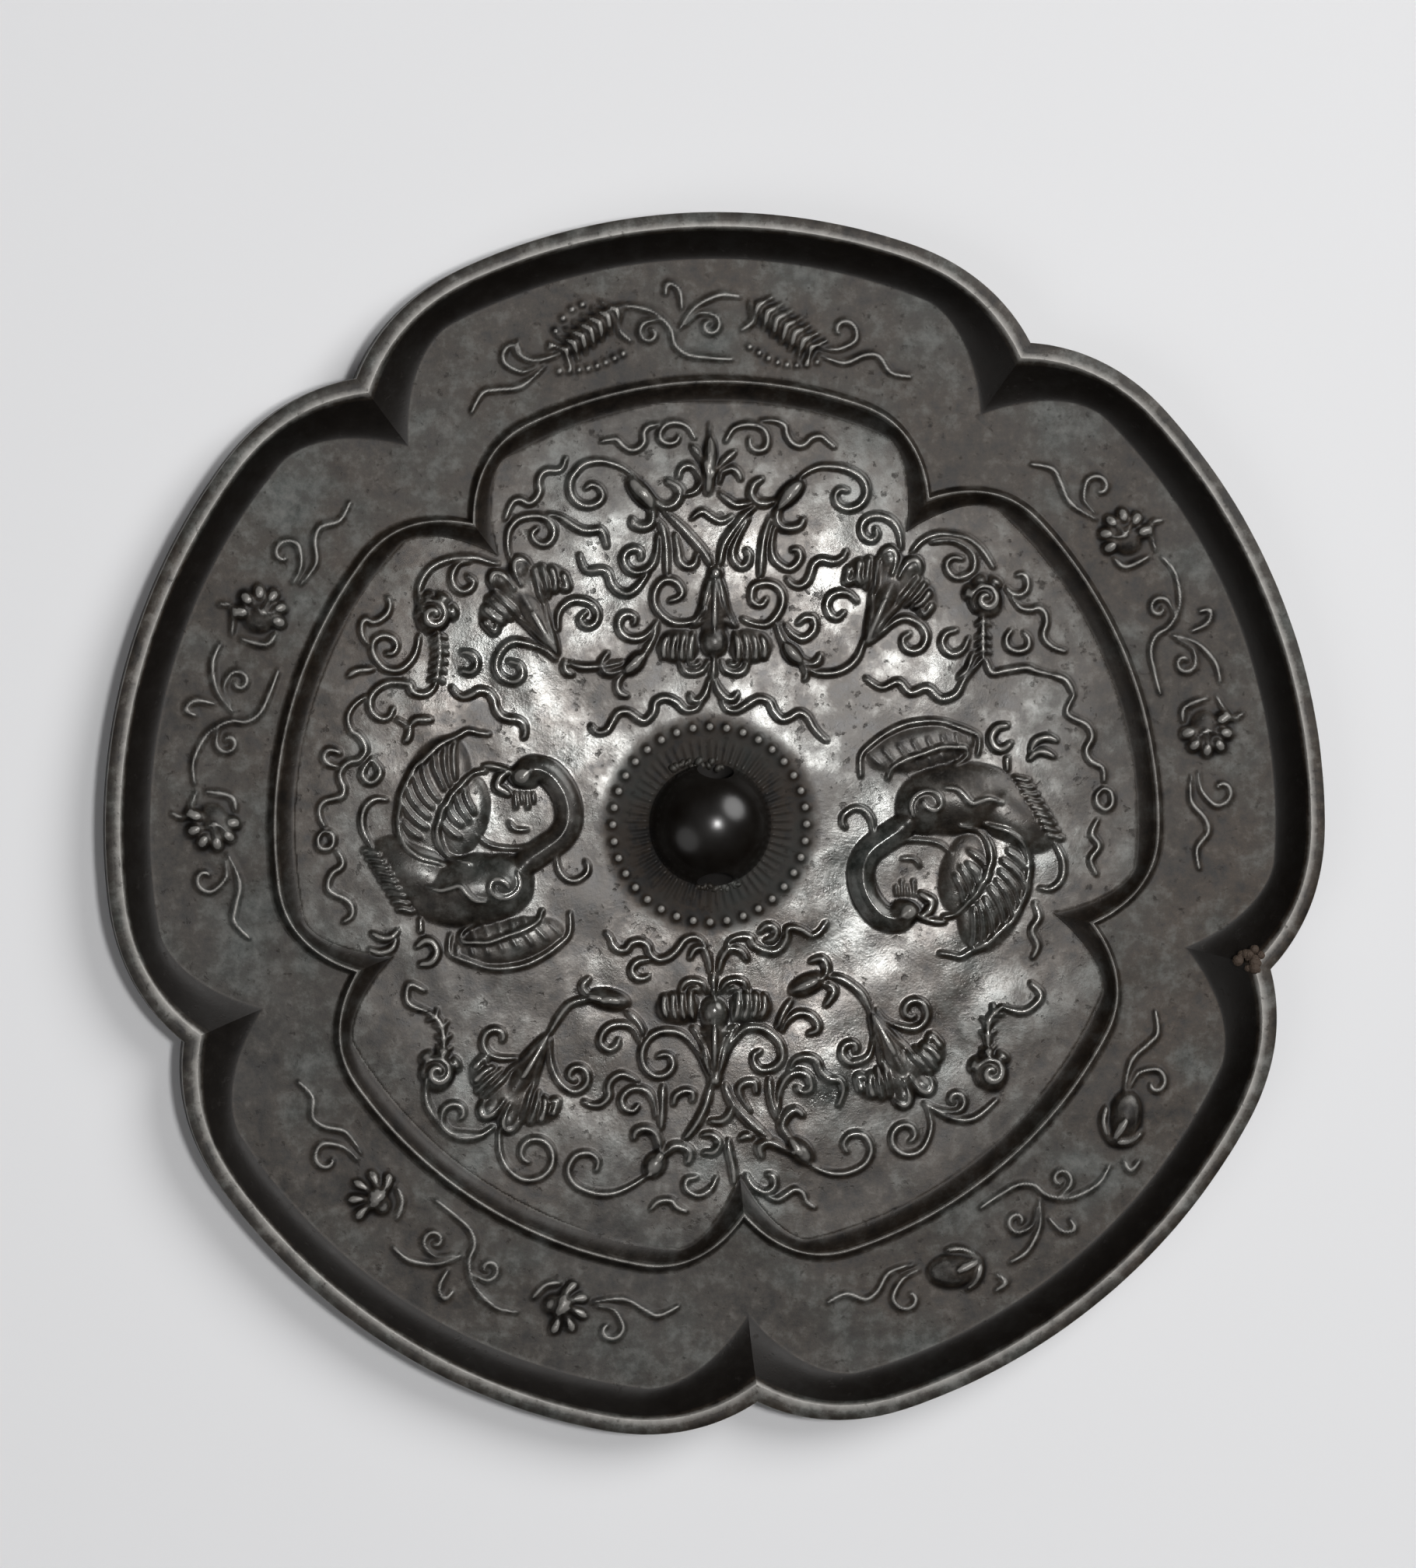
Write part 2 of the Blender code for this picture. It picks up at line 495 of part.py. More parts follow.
def tubes(strokes, name, collection):
    """Strokes as one mesh of slender tubes."""
    data = bpy.data.curves.new(name, "CURVE")
    data.dimensions = "3D"
    data.twist_mode = "Z_UP"
    data.bevel_depth = VINE_THICKNESS
    data.bevel_resolution = 0
    data.use_fill_caps = True
    for sized in strokes:
        spline = data.splines.new("POLY")
        spline.points.add(len(sized) - 1)
        for point, (place, size) in zip(spline.points, sized):
            point.co = (*place, 1.0)
            point.radius = size
    curve = new_object(name, data, collection)
    mesh = bpy.data.meshes.new_from_object(curve.evaluated_get(bpy.context.evaluated_depsgraph_get()))
    bpy.data.objects.remove(curve, do_unlink=True)
    return mesh


def layer_object(relief, layer, name, collection):
    """One layer of strokes and swellings as an object that can be joined to the casting."""
    shape = bmesh.new()
    shape.from_mesh(tubes(relief.in_layer(layer, "stroke"), name, collection))
    bmesh.ops.remove_doubles(shape, verts=shape.verts, dist=0.000001)
    for middle, along, across, rise, sides in relief.in_layer(layer, "swelling"):
        frame = Matrix((
            (along.x, across.x, 0.0, middle.x),
            (along.y, across.y, 0.0, middle.y),
            (0.0, 0.0, rise, middle.z),
            (0.0, 0.0, 0.0, 1.0),
        ))
        bmesh.ops.create_uvsphere(shape, u_segments=sides, v_segments=LENS_RINGS, radius=1.0, matrix=frame)
    return new_object(name, mesh_from(name, shape), collection)


def join_to(target, other, operation="UNION", solver="EXACT"):
    modifier = target.modifiers.new(other.name, "BOOLEAN")
    modifier.operation = operation
    modifier.solver = solver
    modifier.object = other
    other.hide_render = True
    other.display_type = "WIRE"


def join_relief(target, relief, name, collection):
    for layer in range(relief.layers()):
        join_to(target, layer_object(relief, layer, "%s_%d" % (name, layer), collection), solver=RELIEF_SOLVER)


def knob(collection):
    """The domed knob, half sunk in the inner field."""
    shape = bmesh.new()
    frame = Matrix.Diagonal((KNOB_RADIUS, KNOB_RADIUS, KNOB_RISE, 1.0))
    frame.translation = (KNOB_X, KNOB_Y, INNER_HEIGHT)
    bmesh.ops.create_uvsphere(shape, u_segments=24, v_segments=12, radius=1.0, matrix=frame)
    below = [face for face in shape.faces if face.calc_center_median().z < INNER_HEIGHT]
    bmesh.ops.delete(shape, geom=below, context="FACES")
    rim = [edge for edge in shape.edges if edge.is_boundary]
    base = bmesh.ops.extrude_edge_only(shape, edges=rim)["geom"]
    for vertex in (item for item in base if isinstance(item, bmesh.types.BMVert)):
        vertex.co.z = INNER_HEIGHT / 2.0
    bmesh.ops.holes_fill(shape, edges=[edge for edge in shape.edges if edge.is_boundary])
    return new_object("knob_dome", mesh_from("knob_dome", shape), collection)


def cord_hole(collection):
    """The arched passage through the knob that a cord is tied through."""
    floor = INNER_HEIGHT + CORD_HOLE_FLOOR
    spring = floor + CORD_HOLE_HEIGHT * (1.0 - CORD_ARCH_SHARE)
    arch = [(-CORD_HOLE_WIDTH / 2.0, floor), (CORD_HOLE_WIDTH / 2.0, floor)]
    for step in range(9):
        angle = math.pi * step / 8.0
        arch.append((CORD_HOLE_WIDTH / 2.0 * math.cos(angle),
                     spring + CORD_HOLE_HEIGHT * CORD_ARCH_SHARE * math.sin(angle)))
    reach = 1.3 * KNOB_RADIUS
    shape = bmesh.new()
    section = [shape.verts.new((CORD_HOLE_X + x, KNOB_Y - reach, z)) for x, z in arch]
    face = shape.faces.new(section)
    run = bmesh.ops.extrude_face_region(shape, geom=[face])["geom"]
    moved = [item for item in run if isinstance(item, bmesh.types.BMVert)]
    bmesh.ops.translate(shape, verts=moved, vec=(0.0, 2.0 * reach, 0.0))
    return new_object("cord_hole", mesh_from("cord_hole", shape), collection)


def corrosion(share, size, collection):
    """A lump of corrosion on the rim at the right-hand cusp, set out from its inner edge by a share."""
    inner = lobed_radius(FIRST_CUSP, RIM_RADIUS - RIM_WIDTH, RIM_CUSP_DEPTH, RIM_CUSP_SPAN, RIM_CUSP_POWER)
    reach = inner + share * RIM_WIDTH
    turn = CORROSION_ANGLE - 0.02 * share
    place = (reach * math.cos(turn), reach * math.sin(turn), RIM_HEIGHT - CORROSION_RADIUS / 2.0)
    shape = bmesh.new()
    bmesh.ops.create_icosphere(shape, subdivisions=1, radius=size * CORROSION_RADIUS,
                               matrix=Matrix.Translation(place))
    return new_object("corrosion_lump", mesh_from("corrosion_lump", shape), collection)


def build():
    clear_scene()
    parts = new_collection("bronze_mirror")
    shapes = new_collection("joined_shapes")
    mirror = dish(parts)
    mirror.data.materials.append(bronze())
    join_to(mirror, knob(shapes))
    join_to(mirror, cord_hole(shapes), "DIFFERENCE")
    centre = Relief(centre_point)
    centre_sprays(centre)
    lilies = ((-25.6, 27.0, -35.6, 42.0), (23.0, 28.4, 30.2, 44.0), (-27.8, -33.2, -36.6, -47.6),
              (24.7, -30.0, 32.5, -44.3), (-0.9, 42.4, -1.2, 25.4), (-0.9, -41.2, -1.0, -24.6))
    for flower in lilies:
        lily(centre, *flower)
    phoenix(centre, False)
    phoenix(centre, True)
    bead_ring(centre)
    join_relief(mirror, centre, "centre_relief", shapes)
    for lobe, flowers in enumerate(("peonies", "ferns", "peonies", "peonies", "pods")):
        def place(along, outward, lobe=lobe):
            return border_point(lobe, along, outward)
        border = Relief(place)
        border_vine(border, flowers)
        join_relief(mirror, border, "border_relief_%d" % lobe, shapes)
    for share, size in ((0.0, 1.0), (0.9, 0.8), (-0.7, 0.6)):
        join_to(mirror, corrosion(share, size, shapes))
    lighter = mirror.modifiers.new("lighter_mesh", "DECIMATE")
    lighter.ratio = LIGHTER_RATIO


build()
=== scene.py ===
"""A dark five-lobed bronze mirror, lying on its polished face with its cast back up.

The back is worked as one relief: every tendril, flower, bird and bead is laid into a
height map in millimetres, and the pieces of the casting take their heights from it.
"""

import math

import bmesh
import bpy
import numpy as np
from mathutils import Matrix, Vector


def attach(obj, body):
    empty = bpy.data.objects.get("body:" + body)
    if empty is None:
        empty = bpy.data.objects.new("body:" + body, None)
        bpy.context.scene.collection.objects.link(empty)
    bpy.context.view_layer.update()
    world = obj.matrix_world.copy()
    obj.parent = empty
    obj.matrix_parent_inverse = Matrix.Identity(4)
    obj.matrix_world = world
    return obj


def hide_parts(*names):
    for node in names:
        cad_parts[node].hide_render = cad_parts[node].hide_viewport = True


bl_info = {
    "name": "Lobed bronze mirror",
    "version": (1, 0, 0),
    "blender": (4, 5, 0),
    "location": "View3D > Sidebar > Mirror",
    "description": "Builds the cast back, knob and polished face of an old bronze mirror",
    "category": "Add Mesh",
}

MM = 0.001
NODE = "bronze_mirror"

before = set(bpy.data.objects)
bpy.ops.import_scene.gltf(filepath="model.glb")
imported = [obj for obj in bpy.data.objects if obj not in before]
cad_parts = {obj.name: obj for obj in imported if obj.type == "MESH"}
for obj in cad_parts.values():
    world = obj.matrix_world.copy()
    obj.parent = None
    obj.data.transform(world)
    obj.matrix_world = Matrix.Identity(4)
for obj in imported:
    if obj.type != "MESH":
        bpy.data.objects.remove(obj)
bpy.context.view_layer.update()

# Lobes, and the span in degrees and the curve of the cusps on each of their lines
LOBES = 5
FIRST_CUSP = math.radians(57.4)
RIM_CUSP = (15.0, 2.3)
COVE_CUSP = (11.0, 1.7)
RIDGE_CUSP = (14.0, 2.2)
CREASE_CUSP = (9.0, 1.6)

# Rows of a border lobe, with the section of the rim and of its foot, in millimetres and shares
LOBE_STEPS = 360
LOBE_BUNCHING = 0.055
FALL_ROWS = 13
CREST_ROWS = 6
BORDER_ROWS = 52
COVE_ROWS = 14
RIM_SECTION = ((0.06, 0.0), (0.5, 0.03), (0.94, 0.0), (0.99, -0.10), (1.0, -0.35), (1.0, -2.6), (1.0, -5.2))
FOOT_SECTION = ((0.22, 0.45), (0.0, 0.12), (-0.5, 0.02))

# Middle of each border lobe in degrees, and the line that its sprays follow, in millimetres
BORDER_MIDS = (21.4, 93.4, 165.4, 237.4, 309.4)
BORDER_LINE = 82.0

# Height map and inner field, in millimetres
MAP_STEP = 0.125
FIELD_STEP = 0.29
FIELD_SPLIT_X = -1.5
TUCKED_EDGE = 0.12

# Hollows of the relief: cells to look around, gain and limits
HOLLOW_REACH = 7
HOLLOW_GAIN = 1.9
CREST_LIMIT = -0.8
HOLLOW_LIMIT = 0.6

# Waves of the ground, as length and height in millimetres
GROUND_WAVES = ((46.0, 0.060), (27.0, 0.050), (15.0, 0.040), (9.0, 0.016), (5.0, 0.006))
WAVES_EACH = 5

# Knob, and the ring of beads and rays round it, in millimetres
KNOB_X = -1.5
KNOB_Y = 0.3
DOME_SKIN = 0.96
RING_X = -1.6
RING_Y = 0.4
BEADS = 36
BEAD_RING = 15.9
RAYS = 58
RAY_START = 10.4
RAY_END = 13.6

# Residue at the mouths of the hole, as x, y and spread in millimetres, and the corrosion on the rim
MOUTHS = ((-3.7, 10.3, 3.9), (-0.4, -9.9, 3.4))
MOUTH_LUMPS = 16
CRUST_LUMPS = 26
CORROSION_TURN = math.radians(-14.4)

# Shares of rubbing with painted highlight, of painted shade and of wear, with the reach of wear and patina
# in millimetres
CREST_RUB_AND_HIGHLIGHT = 0.45
RIM_RUB_AND_HIGHLIGHT = 0.30
EDGE_RUB_AND_HIGHLIGHT = 0.55
SLOPE_SHADE = 0.35
COVE_SHADE = 0.60
SLOPE_WEAR = 0.3
WEAR_REACH = 78.0
WEAR_FADE = 30.0
LEAST_WEAR = 0.25
PATINA_REACH = 18.5
PATINA_FADE = 3.0

# Polished face, in millimetres
FACE_STEPS = 48
FACE_ROWS = 24
FACE_INSET = 0.3
FACE_HEIGHT = 0.02

# Table, in metres
TABLE_SIDE = 3.0
TABLE_DROP = 0.0001

# Start of the random draws
SEED = 11


def size_property(name, description, default):
    """A length in metres for the panel."""
    return bpy.props.FloatProperty(
        name=name, description=description, default=default, unit="LENGTH", precision=4)


def colour_property(name, description, default):
    """A colour for the panel."""
    return bpy.props.FloatVectorProperty(
        name=name, description=description, default=default, subtype="COLOR", min=0.0, max=1.0)


class MirrorSizes(bpy.types.PropertyGroup):
    """Driving sizes of the casting."""

    rim_radius: size_property("Rim radius", "Outer radius of the lobes", 0.0995)
    rim_width: size_property("Rim width", "Width of the flat top of the rim", 0.0024)
    rim_height: size_property("Rim height", "Height of the rim above the table", 0.0080)
    border_height: size_property("Border height", "Height of the border's ground", 0.0030)
    ridge_radius: size_property("Ridge radius", "Radius of the inner ridge's crest", 0.0723)
    ridge_height: size_property("Ridge height", "Height of the ridge's crest", 0.0048)
    field_height: size_property("Field height", "Height of the inner field's ground", 0.0026)
    knob_radius: size_property("Knob radius", "Radius of the domed knob", 0.0100)
    knob_rise: size_property("Knob rise", "Height of the knob above the field", 0.0085)
    cord_hole_width: size_property("Cord hole width", "Width of the hole through the knob", 0.0060)


class MirrorFinish(bpy.types.PropertyGroup):
    """Colours of the bronze and of the table."""

    bronze: colour_property("Bronze", "Dark bronze of the worn fields", (0.034, 0.031, 0.027))
    brown: colour_property("Brown patina", "Brown patina in the hollows", (0.036, 0.024, 0.015))
    green: colour_property("Green patina", "Grey-green bloom on the border", (0.022, 0.029, 0.027))
    # This near black serves as a random dark tone and as patina round the knob, and as painted shade in the
    # hollows, the coves and inside the cord hole.
    deep: colour_property("Deep hollows", "Near black of the coves and hollows", (0.006, 0.0045, 0.0035))
    # The bare-metal grey is part worn metal and part painted highlight on the stroke crests, the ridge crest
    # and the rim's edges; it also lightens random patches.
    bare_metal_and_highlight: colour_property("Bare metal", "Grey of rubbed edges and crests", (0.300, 0.288, 0.268))
    pit: colour_property("Pits", "Black of the small pits", (0.012, 0.009, 0.007))
    crust: colour_property("Corrosion", "Brown crust of the corroded lumps", (0.055, 0.036, 0.024))
    table: colour_property("Table", "Pale table under the mirror", (0.80, 0.80, 0.81))


# Shape of the casting


def lobed(angle, radius, depth, span, power):
    """Radius of a lobed line, drawn in towards the centre at each cusp."""
    turn = 2.0 * math.pi / LOBES
    from_cusp = (angle - FIRST_CUSP + turn / 2.0) % turn - turn / 2.0
    near = np.maximum(0.0, 1.0 - np.abs(from_cusp) / math.radians(span))
    return radius - depth * near ** power


class Profile:
    """The lobed lines of the casting, in millimetres, and the height of its plain surface."""

    def __init__(self, sizes):
        self.rim = sizes.rim_radius / MM
        self.rim_width = sizes.rim_width / MM
        self.rim_height = sizes.rim_height / MM
        self.border_height = sizes.border_height / MM
        self.ridge = sizes.ridge_radius / MM
        self.ridge_height = sizes.ridge_height / MM
        self.field_height = sizes.field_height / MM
        self.rim_depth = 6.0
        self.lip = 0.7
        self.cove_run = 5.0
        self.cove_curve = 1.7
        self.spur = 11.0
        self.ridge_depth = 8.9
        self.ridge_out_run = 1.3
        self.ridge_in_run = 3.1
        self.crease = 6.4

    def rim_out(self, angle):
        return lobed(angle, self.rim, self.rim_depth, *RIM_CUSP)

    def rim_in(self, angle):
        return lobed(angle, self.rim - self.rim_width, self.rim_depth + self.lip, *RIM_CUSP)

    def cove_foot(self, angle):
        depth = self.rim_depth + self.lip + self.spur - self.cove_run
        return lobed(angle, self.rim - self.rim_width - self.cove_run, depth, *COVE_CUSP)

    def ridge_out(self, angle):
        return lobed(angle, self.ridge + self.ridge_out_run, self.ridge_depth, *RIDGE_CUSP)

    def ridge_crest(self, angle):
        return lobed(angle, self.ridge, self.ridge_depth, *RIDGE_CUSP)

    def ridge_foot(self, angle):
        depth = self.ridge_depth + self.crease - self.ridge_in_run
        return lobed(angle, self.ridge - self.ridge_in_run, depth, *CREASE_CUSP)

    def height(self, x, y):
        """Height of the plain back over a place, without any relief."""
        reach = np.hypot(x, y)
        angle = np.arctan2(y, x)
        rim_in = self.rim_in(angle)
        foot = self.cove_foot(angle)
        out = self.ridge_out(angle)
        crest = self.ridge_crest(angle)
        inner = self.ridge_foot(angle)
        rise = np.clip((reach - foot) / (rim_in - foot), 0.0, 1.0) ** self.cove_curve
        height = self.border_height + (self.rim_height - self.border_height) * rise
        climb = np.clip((out - reach) / (out - crest), 0.0, 1.0)
        climb = climb * climb * (3.0 - 2.0 * climb)
        height = height + (self.ridge_height - self.border_height) * climb * (reach < rim_in)
        fall = np.clip((reach - inner) / (crest - inner), 0.0, 1.0) ** self.cove_curve
        inside = self.field_height + (self.ridge_height - self.field_height) * fall
        return np.where(reach < crest, inside, height)


# Relief


def pairs(numbers):
    """The numbers, two by two, as points."""
    return [(float(x), float(y)) for x, y in zip(numbers[0::2], numbers[1::2])]


def eased(points, steps=4):
    """A smooth path through the points."""
    if len(points) < 3:
        return np.array(points)
    knots = np.array([points[0]] + list(points) + [points[-1]])
    path = []
    for a, b, c, d in zip(knots, knots[1:], knots[2:], knots[3:]):
        for step in range(steps):
            t = step / steps
            path.append((2.0 * b + (c - a) * t + (2.0 * a - 5.0 * b + 4.0 * c - d) * t * t
                         + (3.0 * b - a - 3.0 * c + d) * t ** 3) / 2.0)
    path.append(knots[-1])
    return np.array(path)


def scrolled(points, centre_x, centre_y, turns, eye=0.28):
    """The points, with a scroll after them that winds in about its centre."""
    start_x, start_y = points[-1]
    radius = math.hypot(start_x - centre_x, start_y - centre_y)
    angle = math.atan2(start_y - centre_y, start_x - centre_x)
    steps = max(4, round(abs(turns) * 9))
    path = list(points)
    for step in range(1, steps + 1):
        share = step / steps
        reach = radius * (1.0 - (1.0 - eye) * share)
        turned = angle + 2.0 * math.pi * turns * share
        path.append((centre_x + reach * math.cos(turned), centre_y + reach * math.sin(turned)))
    return path


def on_border(lobe):
    """Place on a border lobe: clockwise along its middle line, and outward from that line."""
    middle = math.radians(BORDER_MIDS[lobe])

    def place(along, outward):
        angle = middle - along / BORDER_LINE
        reach = BORDER_LINE + outward
        return (reach * math.cos(angle), reach * math.sin(angle))

    return place


def on_field(x, y):
    """Place on the inner field, which is drawn in the mirror's own coordinates."""
    return (x, y)


class Relief:
    """A height map of the ornament, in millimetres above the plain back."""

    def __init__(self):
        self.reach = 100.0
        self.count = int(2.0 * self.reach / MAP_STEP) + 1
        self.masses = np.zeros((self.count, self.count), dtype=np.float32)
        self.lines = np.zeros((self.count, self.count), dtype=np.float32)
        self.place = on_field

    def window(self, low_x, low_y, high_x, high_y):
        """Rows and columns of the map round a box, with their coordinates."""
        first_col = max(0, int((low_x + self.reach) / MAP_STEP))
        last_col = min(self.count, int((high_x + self.reach) / MAP_STEP) + 2)
        first_row = max(0, int((low_y + self.reach) / MAP_STEP))
        last_row = min(self.count, int((high_y + self.reach) / MAP_STEP) + 2)
        x = (np.arange(first_col, last_col) * MAP_STEP - self.reach)[None, :]
        y = (np.arange(first_row, last_row) * MAP_STEP - self.reach)[:, None]
        return slice(first_row, last_row), slice(first_col, last_col), x, y

    def stroke(self, path, widths, rise, power):
        """A rounded ridge along a path, laid into the lines."""
        for (ax, ay), (bx, by), wide_a, wide_b in zip(path, path[1:], widths, widths[1:]):
            wide = max(wide_a, wide_b)
            rows, cols, x, y = self.window(min(ax, bx) - wide, min(ay, by) - wide,
                                           max(ax, bx) + wide, max(ay, by) + wide)
            long_x = bx - ax
            long_y = by - ay
            square = max(long_x * long_x + long_y * long_y, 1e-9)
            share = np.clip(((x - ax) * long_x + (y - ay) * long_y) / square, 0.0, 1.0)
            off = np.hypot(x - ax - share * long_x, y - ay - share * long_y)
            half = wide_a + (wide_b - wide_a) * share
            body = np.maximum(0.0, 1.0 - (off / half) ** 2) ** power * rise * (half / wide) ** 0.6
            self.lines[rows, cols] = np.maximum(self.lines[rows, cols], body)

    def vine(self, *numbers, scroll=None, width=0.64, rise=0.55, ends=(0.45, 0.55), power=1.25):
        """A tapering stroke through the points, with a scroll at its end where one is given."""
        points = pairs(numbers)
        if scroll:
            points = scrolled(points, *scroll)
        path = eased([self.place(*point) for point in points])
        share = np.linspace(0.0, 1.0, len(path))
        taper = np.minimum(ends[0] + (1.0 - ends[0]) * np.minimum(1.0, share * 4.0),
                           ends[1] + (1.0 - ends[1]) * np.minimum(1.0, (1.0 - share) * 4.0))
        self.stroke(path, width * taper, rise, power)

    def lens(self, x, y, length, width, heading, rise, power=0.6):
        """A rounded swelling whose long axis has the given heading in degrees."""
        ahead = math.radians(heading)
        tip = self.place(x + 0.5 * length * math.cos(ahead), y + 0.5 * length * math.sin(ahead))
        tail = self.place(x - 0.5 * length * math.cos(ahead), y - 0.5 * length * math.sin(ahead))
        mid_x, mid_y = (tip[0] + tail[0]) / 2.0, (tip[1] + tail[1]) / 2.0
        half = math.hypot(tip[0] - tail[0], tip[1] - tail[1]) / 2.0
        along_x, along_y = (tip[0] - mid_x) / half, (tip[1] - mid_y) / half
        reach = max(half, width / 2.0)
        rows, cols, gx, gy = self.window(mid_x - reach, mid_y - reach, mid_x + reach, mid_y + reach)
        along = ((gx - mid_x) * along_x + (gy - mid_y) * along_y) / half
        across = (-(gx - mid_x) * along_y + (gy - mid_y) * along_x) / (width / 2.0)
        body = np.maximum(0.0, 1.0 - along ** 2 - across ** 2) ** power * rise
        self.masses[rows, cols] = np.maximum(self.masses[rows, cols], body.astype(np.float32))

    def finished(self):
        """The whole relief, softened as a cast surface is."""
        return softened(self.masses, 2) + softened(self.lines, 1)


def softened(layer, reach):
    """The map averaged over a small square, twice."""
    for _ in range(2):
        for axis in (0, 1):
            total = np.zeros_like(layer)
            for step in range(-reach, reach + 1):
                total += np.roll(layer, step, axis=axis)
            layer = total / (2 * reach + 1)
    return layer


def sampled(layer, x, y, reach):
    """Values of a map at the given places."""
    column = np.clip((x + reach) / MAP_STEP, 0, layer.shape[1] - 1.001)
    row = np.clip((y + reach) / MAP_STEP, 0, layer.shape[0] - 1.001)
    left = column.astype(int)
    low = row.astype(int)
    across = column - left
    up = row - low
    below = layer[low, left] * (1 - across) + layer[low, left + 1] * across
    above = layer[low + 1, left] * (1 - across) + layer[low + 1, left + 1] * across
    return below * (1 - up) + above * up


def unevenness(x, y, random):
    """Slow waves of the hand-finished ground."""
    height = np.zeros_like(x)
    for length, size in GROUND_WAVES:
        for _ in range(WAVES_EACH):
            angle = random.uniform(0.0, math.pi)
            phase = random.uniform(0.0, 2.0 * math.pi)
            wave = 2.0 * math.pi / (length * random.uniform(0.8, 1.25))
            height += size * 0.5 * np.sin(wave * (x * math.cos(angle) + y * math.sin(angle)) + phase)
    return height


# Ornament of the inner field


def lily(relief, tip_x, tip_y, mouth_x, mouth_y):
    """A trumpet lily: a smooth body that flares from its tip, curled petals and combed side petals."""
    length = math.hypot(mouth_x - tip_x, mouth_y - tip_y)
    ahead_x = (mouth_x - tip_x) / length
    ahead_y = (mouth_y - tip_y) / length
    heading = math.degrees(math.atan2(ahead_y, ahead_x))

    def spot(along, across):
        return (tip_x + along * length * ahead_x - across * ahead_y,
                tip_y + along * length * ahead_y + across * ahead_x)

    relief.lens(*spot(0.50, 0.0), 1.0 * length, 3.6, heading, 0.9, 0.9)
    relief.lens(*spot(0.74, 0.0), 0.50 * length, 7.4, heading, 0.7, 0.7)
    relief.vine(*spot(0.03, 0.0), *spot(0.25, 0.1), *spot(0.50, 0.1), width=0.55, rise=0.5)
    for side in (-1.0, 1.0):
        relief.vine(*spot(0.06, side * 0.2), *spot(0.30, side * 1.3), *spot(0.50, side * 2.2),
                    *spot(0.66, side * 3.2), width=0.5, rise=0.4)
        relief.lens(*spot(0.93, side * 1.8), 4.2, 3.0, heading + side * 28.0, 0.8, 0.6)
        relief.vine(*spot(0.78, side * 0.6), *spot(0.96, side * 0.9), *spot(1.03, side * 2.2),
                    *spot(0.96, side * 3.4), *spot(0.82, side * 3.3), width=0.5, rise=0.45)
        relief.lens(*spot(0.68, side * 5.4), 4.4, 4.8, heading + side * 18.0, 0.4, 0.6)
        for finger in range(4):
            across = 3.7 + 1.25 * finger
            root = 0.52 + 0.02 * finger
            top = 0.85 - 0.022 * finger * finger
            relief.vine(*spot(root, side * (across - 1.5)), *spot(top - 0.12, side * (across - 0.5)),
                        *spot(top, side * across), width=0.72, rise=0.55, ends=(0.3, 1.0))


def rosebud(relief, x, y, tilt):
    """A small rosebud on its side, wound up in one long petal with three loose ones outside."""
    relief.lens(x, y, 6.2, 5.0, tilt, 1.1)
    start = math.radians(tilt + 120.0)
    wound = []
    for step in range(20):
        angle = start - 0.5 * step
        reach = 2.7 - 0.12 * step
        wound += [x + reach * math.cos(angle), y + reach * math.sin(angle)]
    relief.vine(*wound, width=0.7, rise=0.6)
    for petal in (-50.0, 0.0, 50.0):
        angle = math.radians(tilt + petal)
        relief.lens(x + 3.1 * math.cos(angle), y + 3.1 * math.sin(angle), 2.6, 1.5, tilt + petal + 90.0, 0.9)


def rope(relief, *numbers):
    """A stem with short leaf buds on both sides."""
    relief.vine(*numbers, width=0.6, rise=0.7)
    path = eased(pairs(numbers), 6)
    for step in range(2, len(path) - 2, 4):
        x, y = path[step]
        along = path[step + 1] - path[step - 1]
        along_x, along_y = along / max(1e-6, np.hypot(*along))
        for side in (-1.0, 1.0):
            tip_x = x - side * along_y * 1.2 + along_x * 0.9
            tip_y = y + side * along_x * 1.2 + along_y * 0.9
            relief.vine(x, y, tip_x, tip_y, width=0.5, rise=0.7, ends=(0.8, 0.4))


def hanging_lily(relief, up):
    """The upright lily above or below the knob, with its mouth towards the knob."""
    middle = -0.9

    def vine(*numbers, **settings):
        points = pairs(numbers)
        relief.vine(*[value for x, y in points for value in (middle + x, y * up)], **settings)

    def lens(x, y, *shape):
        relief.lens(middle + x, y * up, *shape)

    lens(0.0, 35.4, 12.4, 4.4, 90.0, 0.9, 0.9)
    lens(0.0, 30.2, 4.9, 4.4, 90.0, 1.2, 0.7)
    lens(0.2, 41.2, 2.3, 2.1, 90.0, 0.8)
    vine(0.1, 40.4, 0, 36, 0, 31.6, width=0.5, rise=0.45)
    for side in (-1.0, 1.0):
        vine(side * 0.8, 40.2, side * 1.5, 37.4, side * 2.3, 34.8, side * 3.6, 32.6, width=0.55, rise=0.5)
        vine(side * 1.7, 33.6, side * 2.5, 33.2, side * 3.6, 32.6, width=0.5, rise=0.4)
        lens(side * 5.9, 29.4, 7.0, 5.2, 0.0, 0.6, 0.6)
        for finger in range(4):
            reach = side * (3.9 + 1.45 * finger)
            vine(reach - side * 0.5, 31.6 - 0.2 * finger, reach, 29.4, reach, 27.2 + 0.15 * finger,
                 width=0.62, rise=0.55, ends=(0.4, 0.9))
        vine(side * 1.0, 26.9, side * 1.9, 25.5, side * 3.5, 25.0, side * 4.8, 25.4, side * 5.5, 26.7,
             width=0.6)
        vine(side * 2.4, 26.8, side * 3.0, 26.3, side * 4.0, 26.6, width=0.5)
    vine(0, 28, -0.1, 26, -0.2, 24.1, width=0.6)


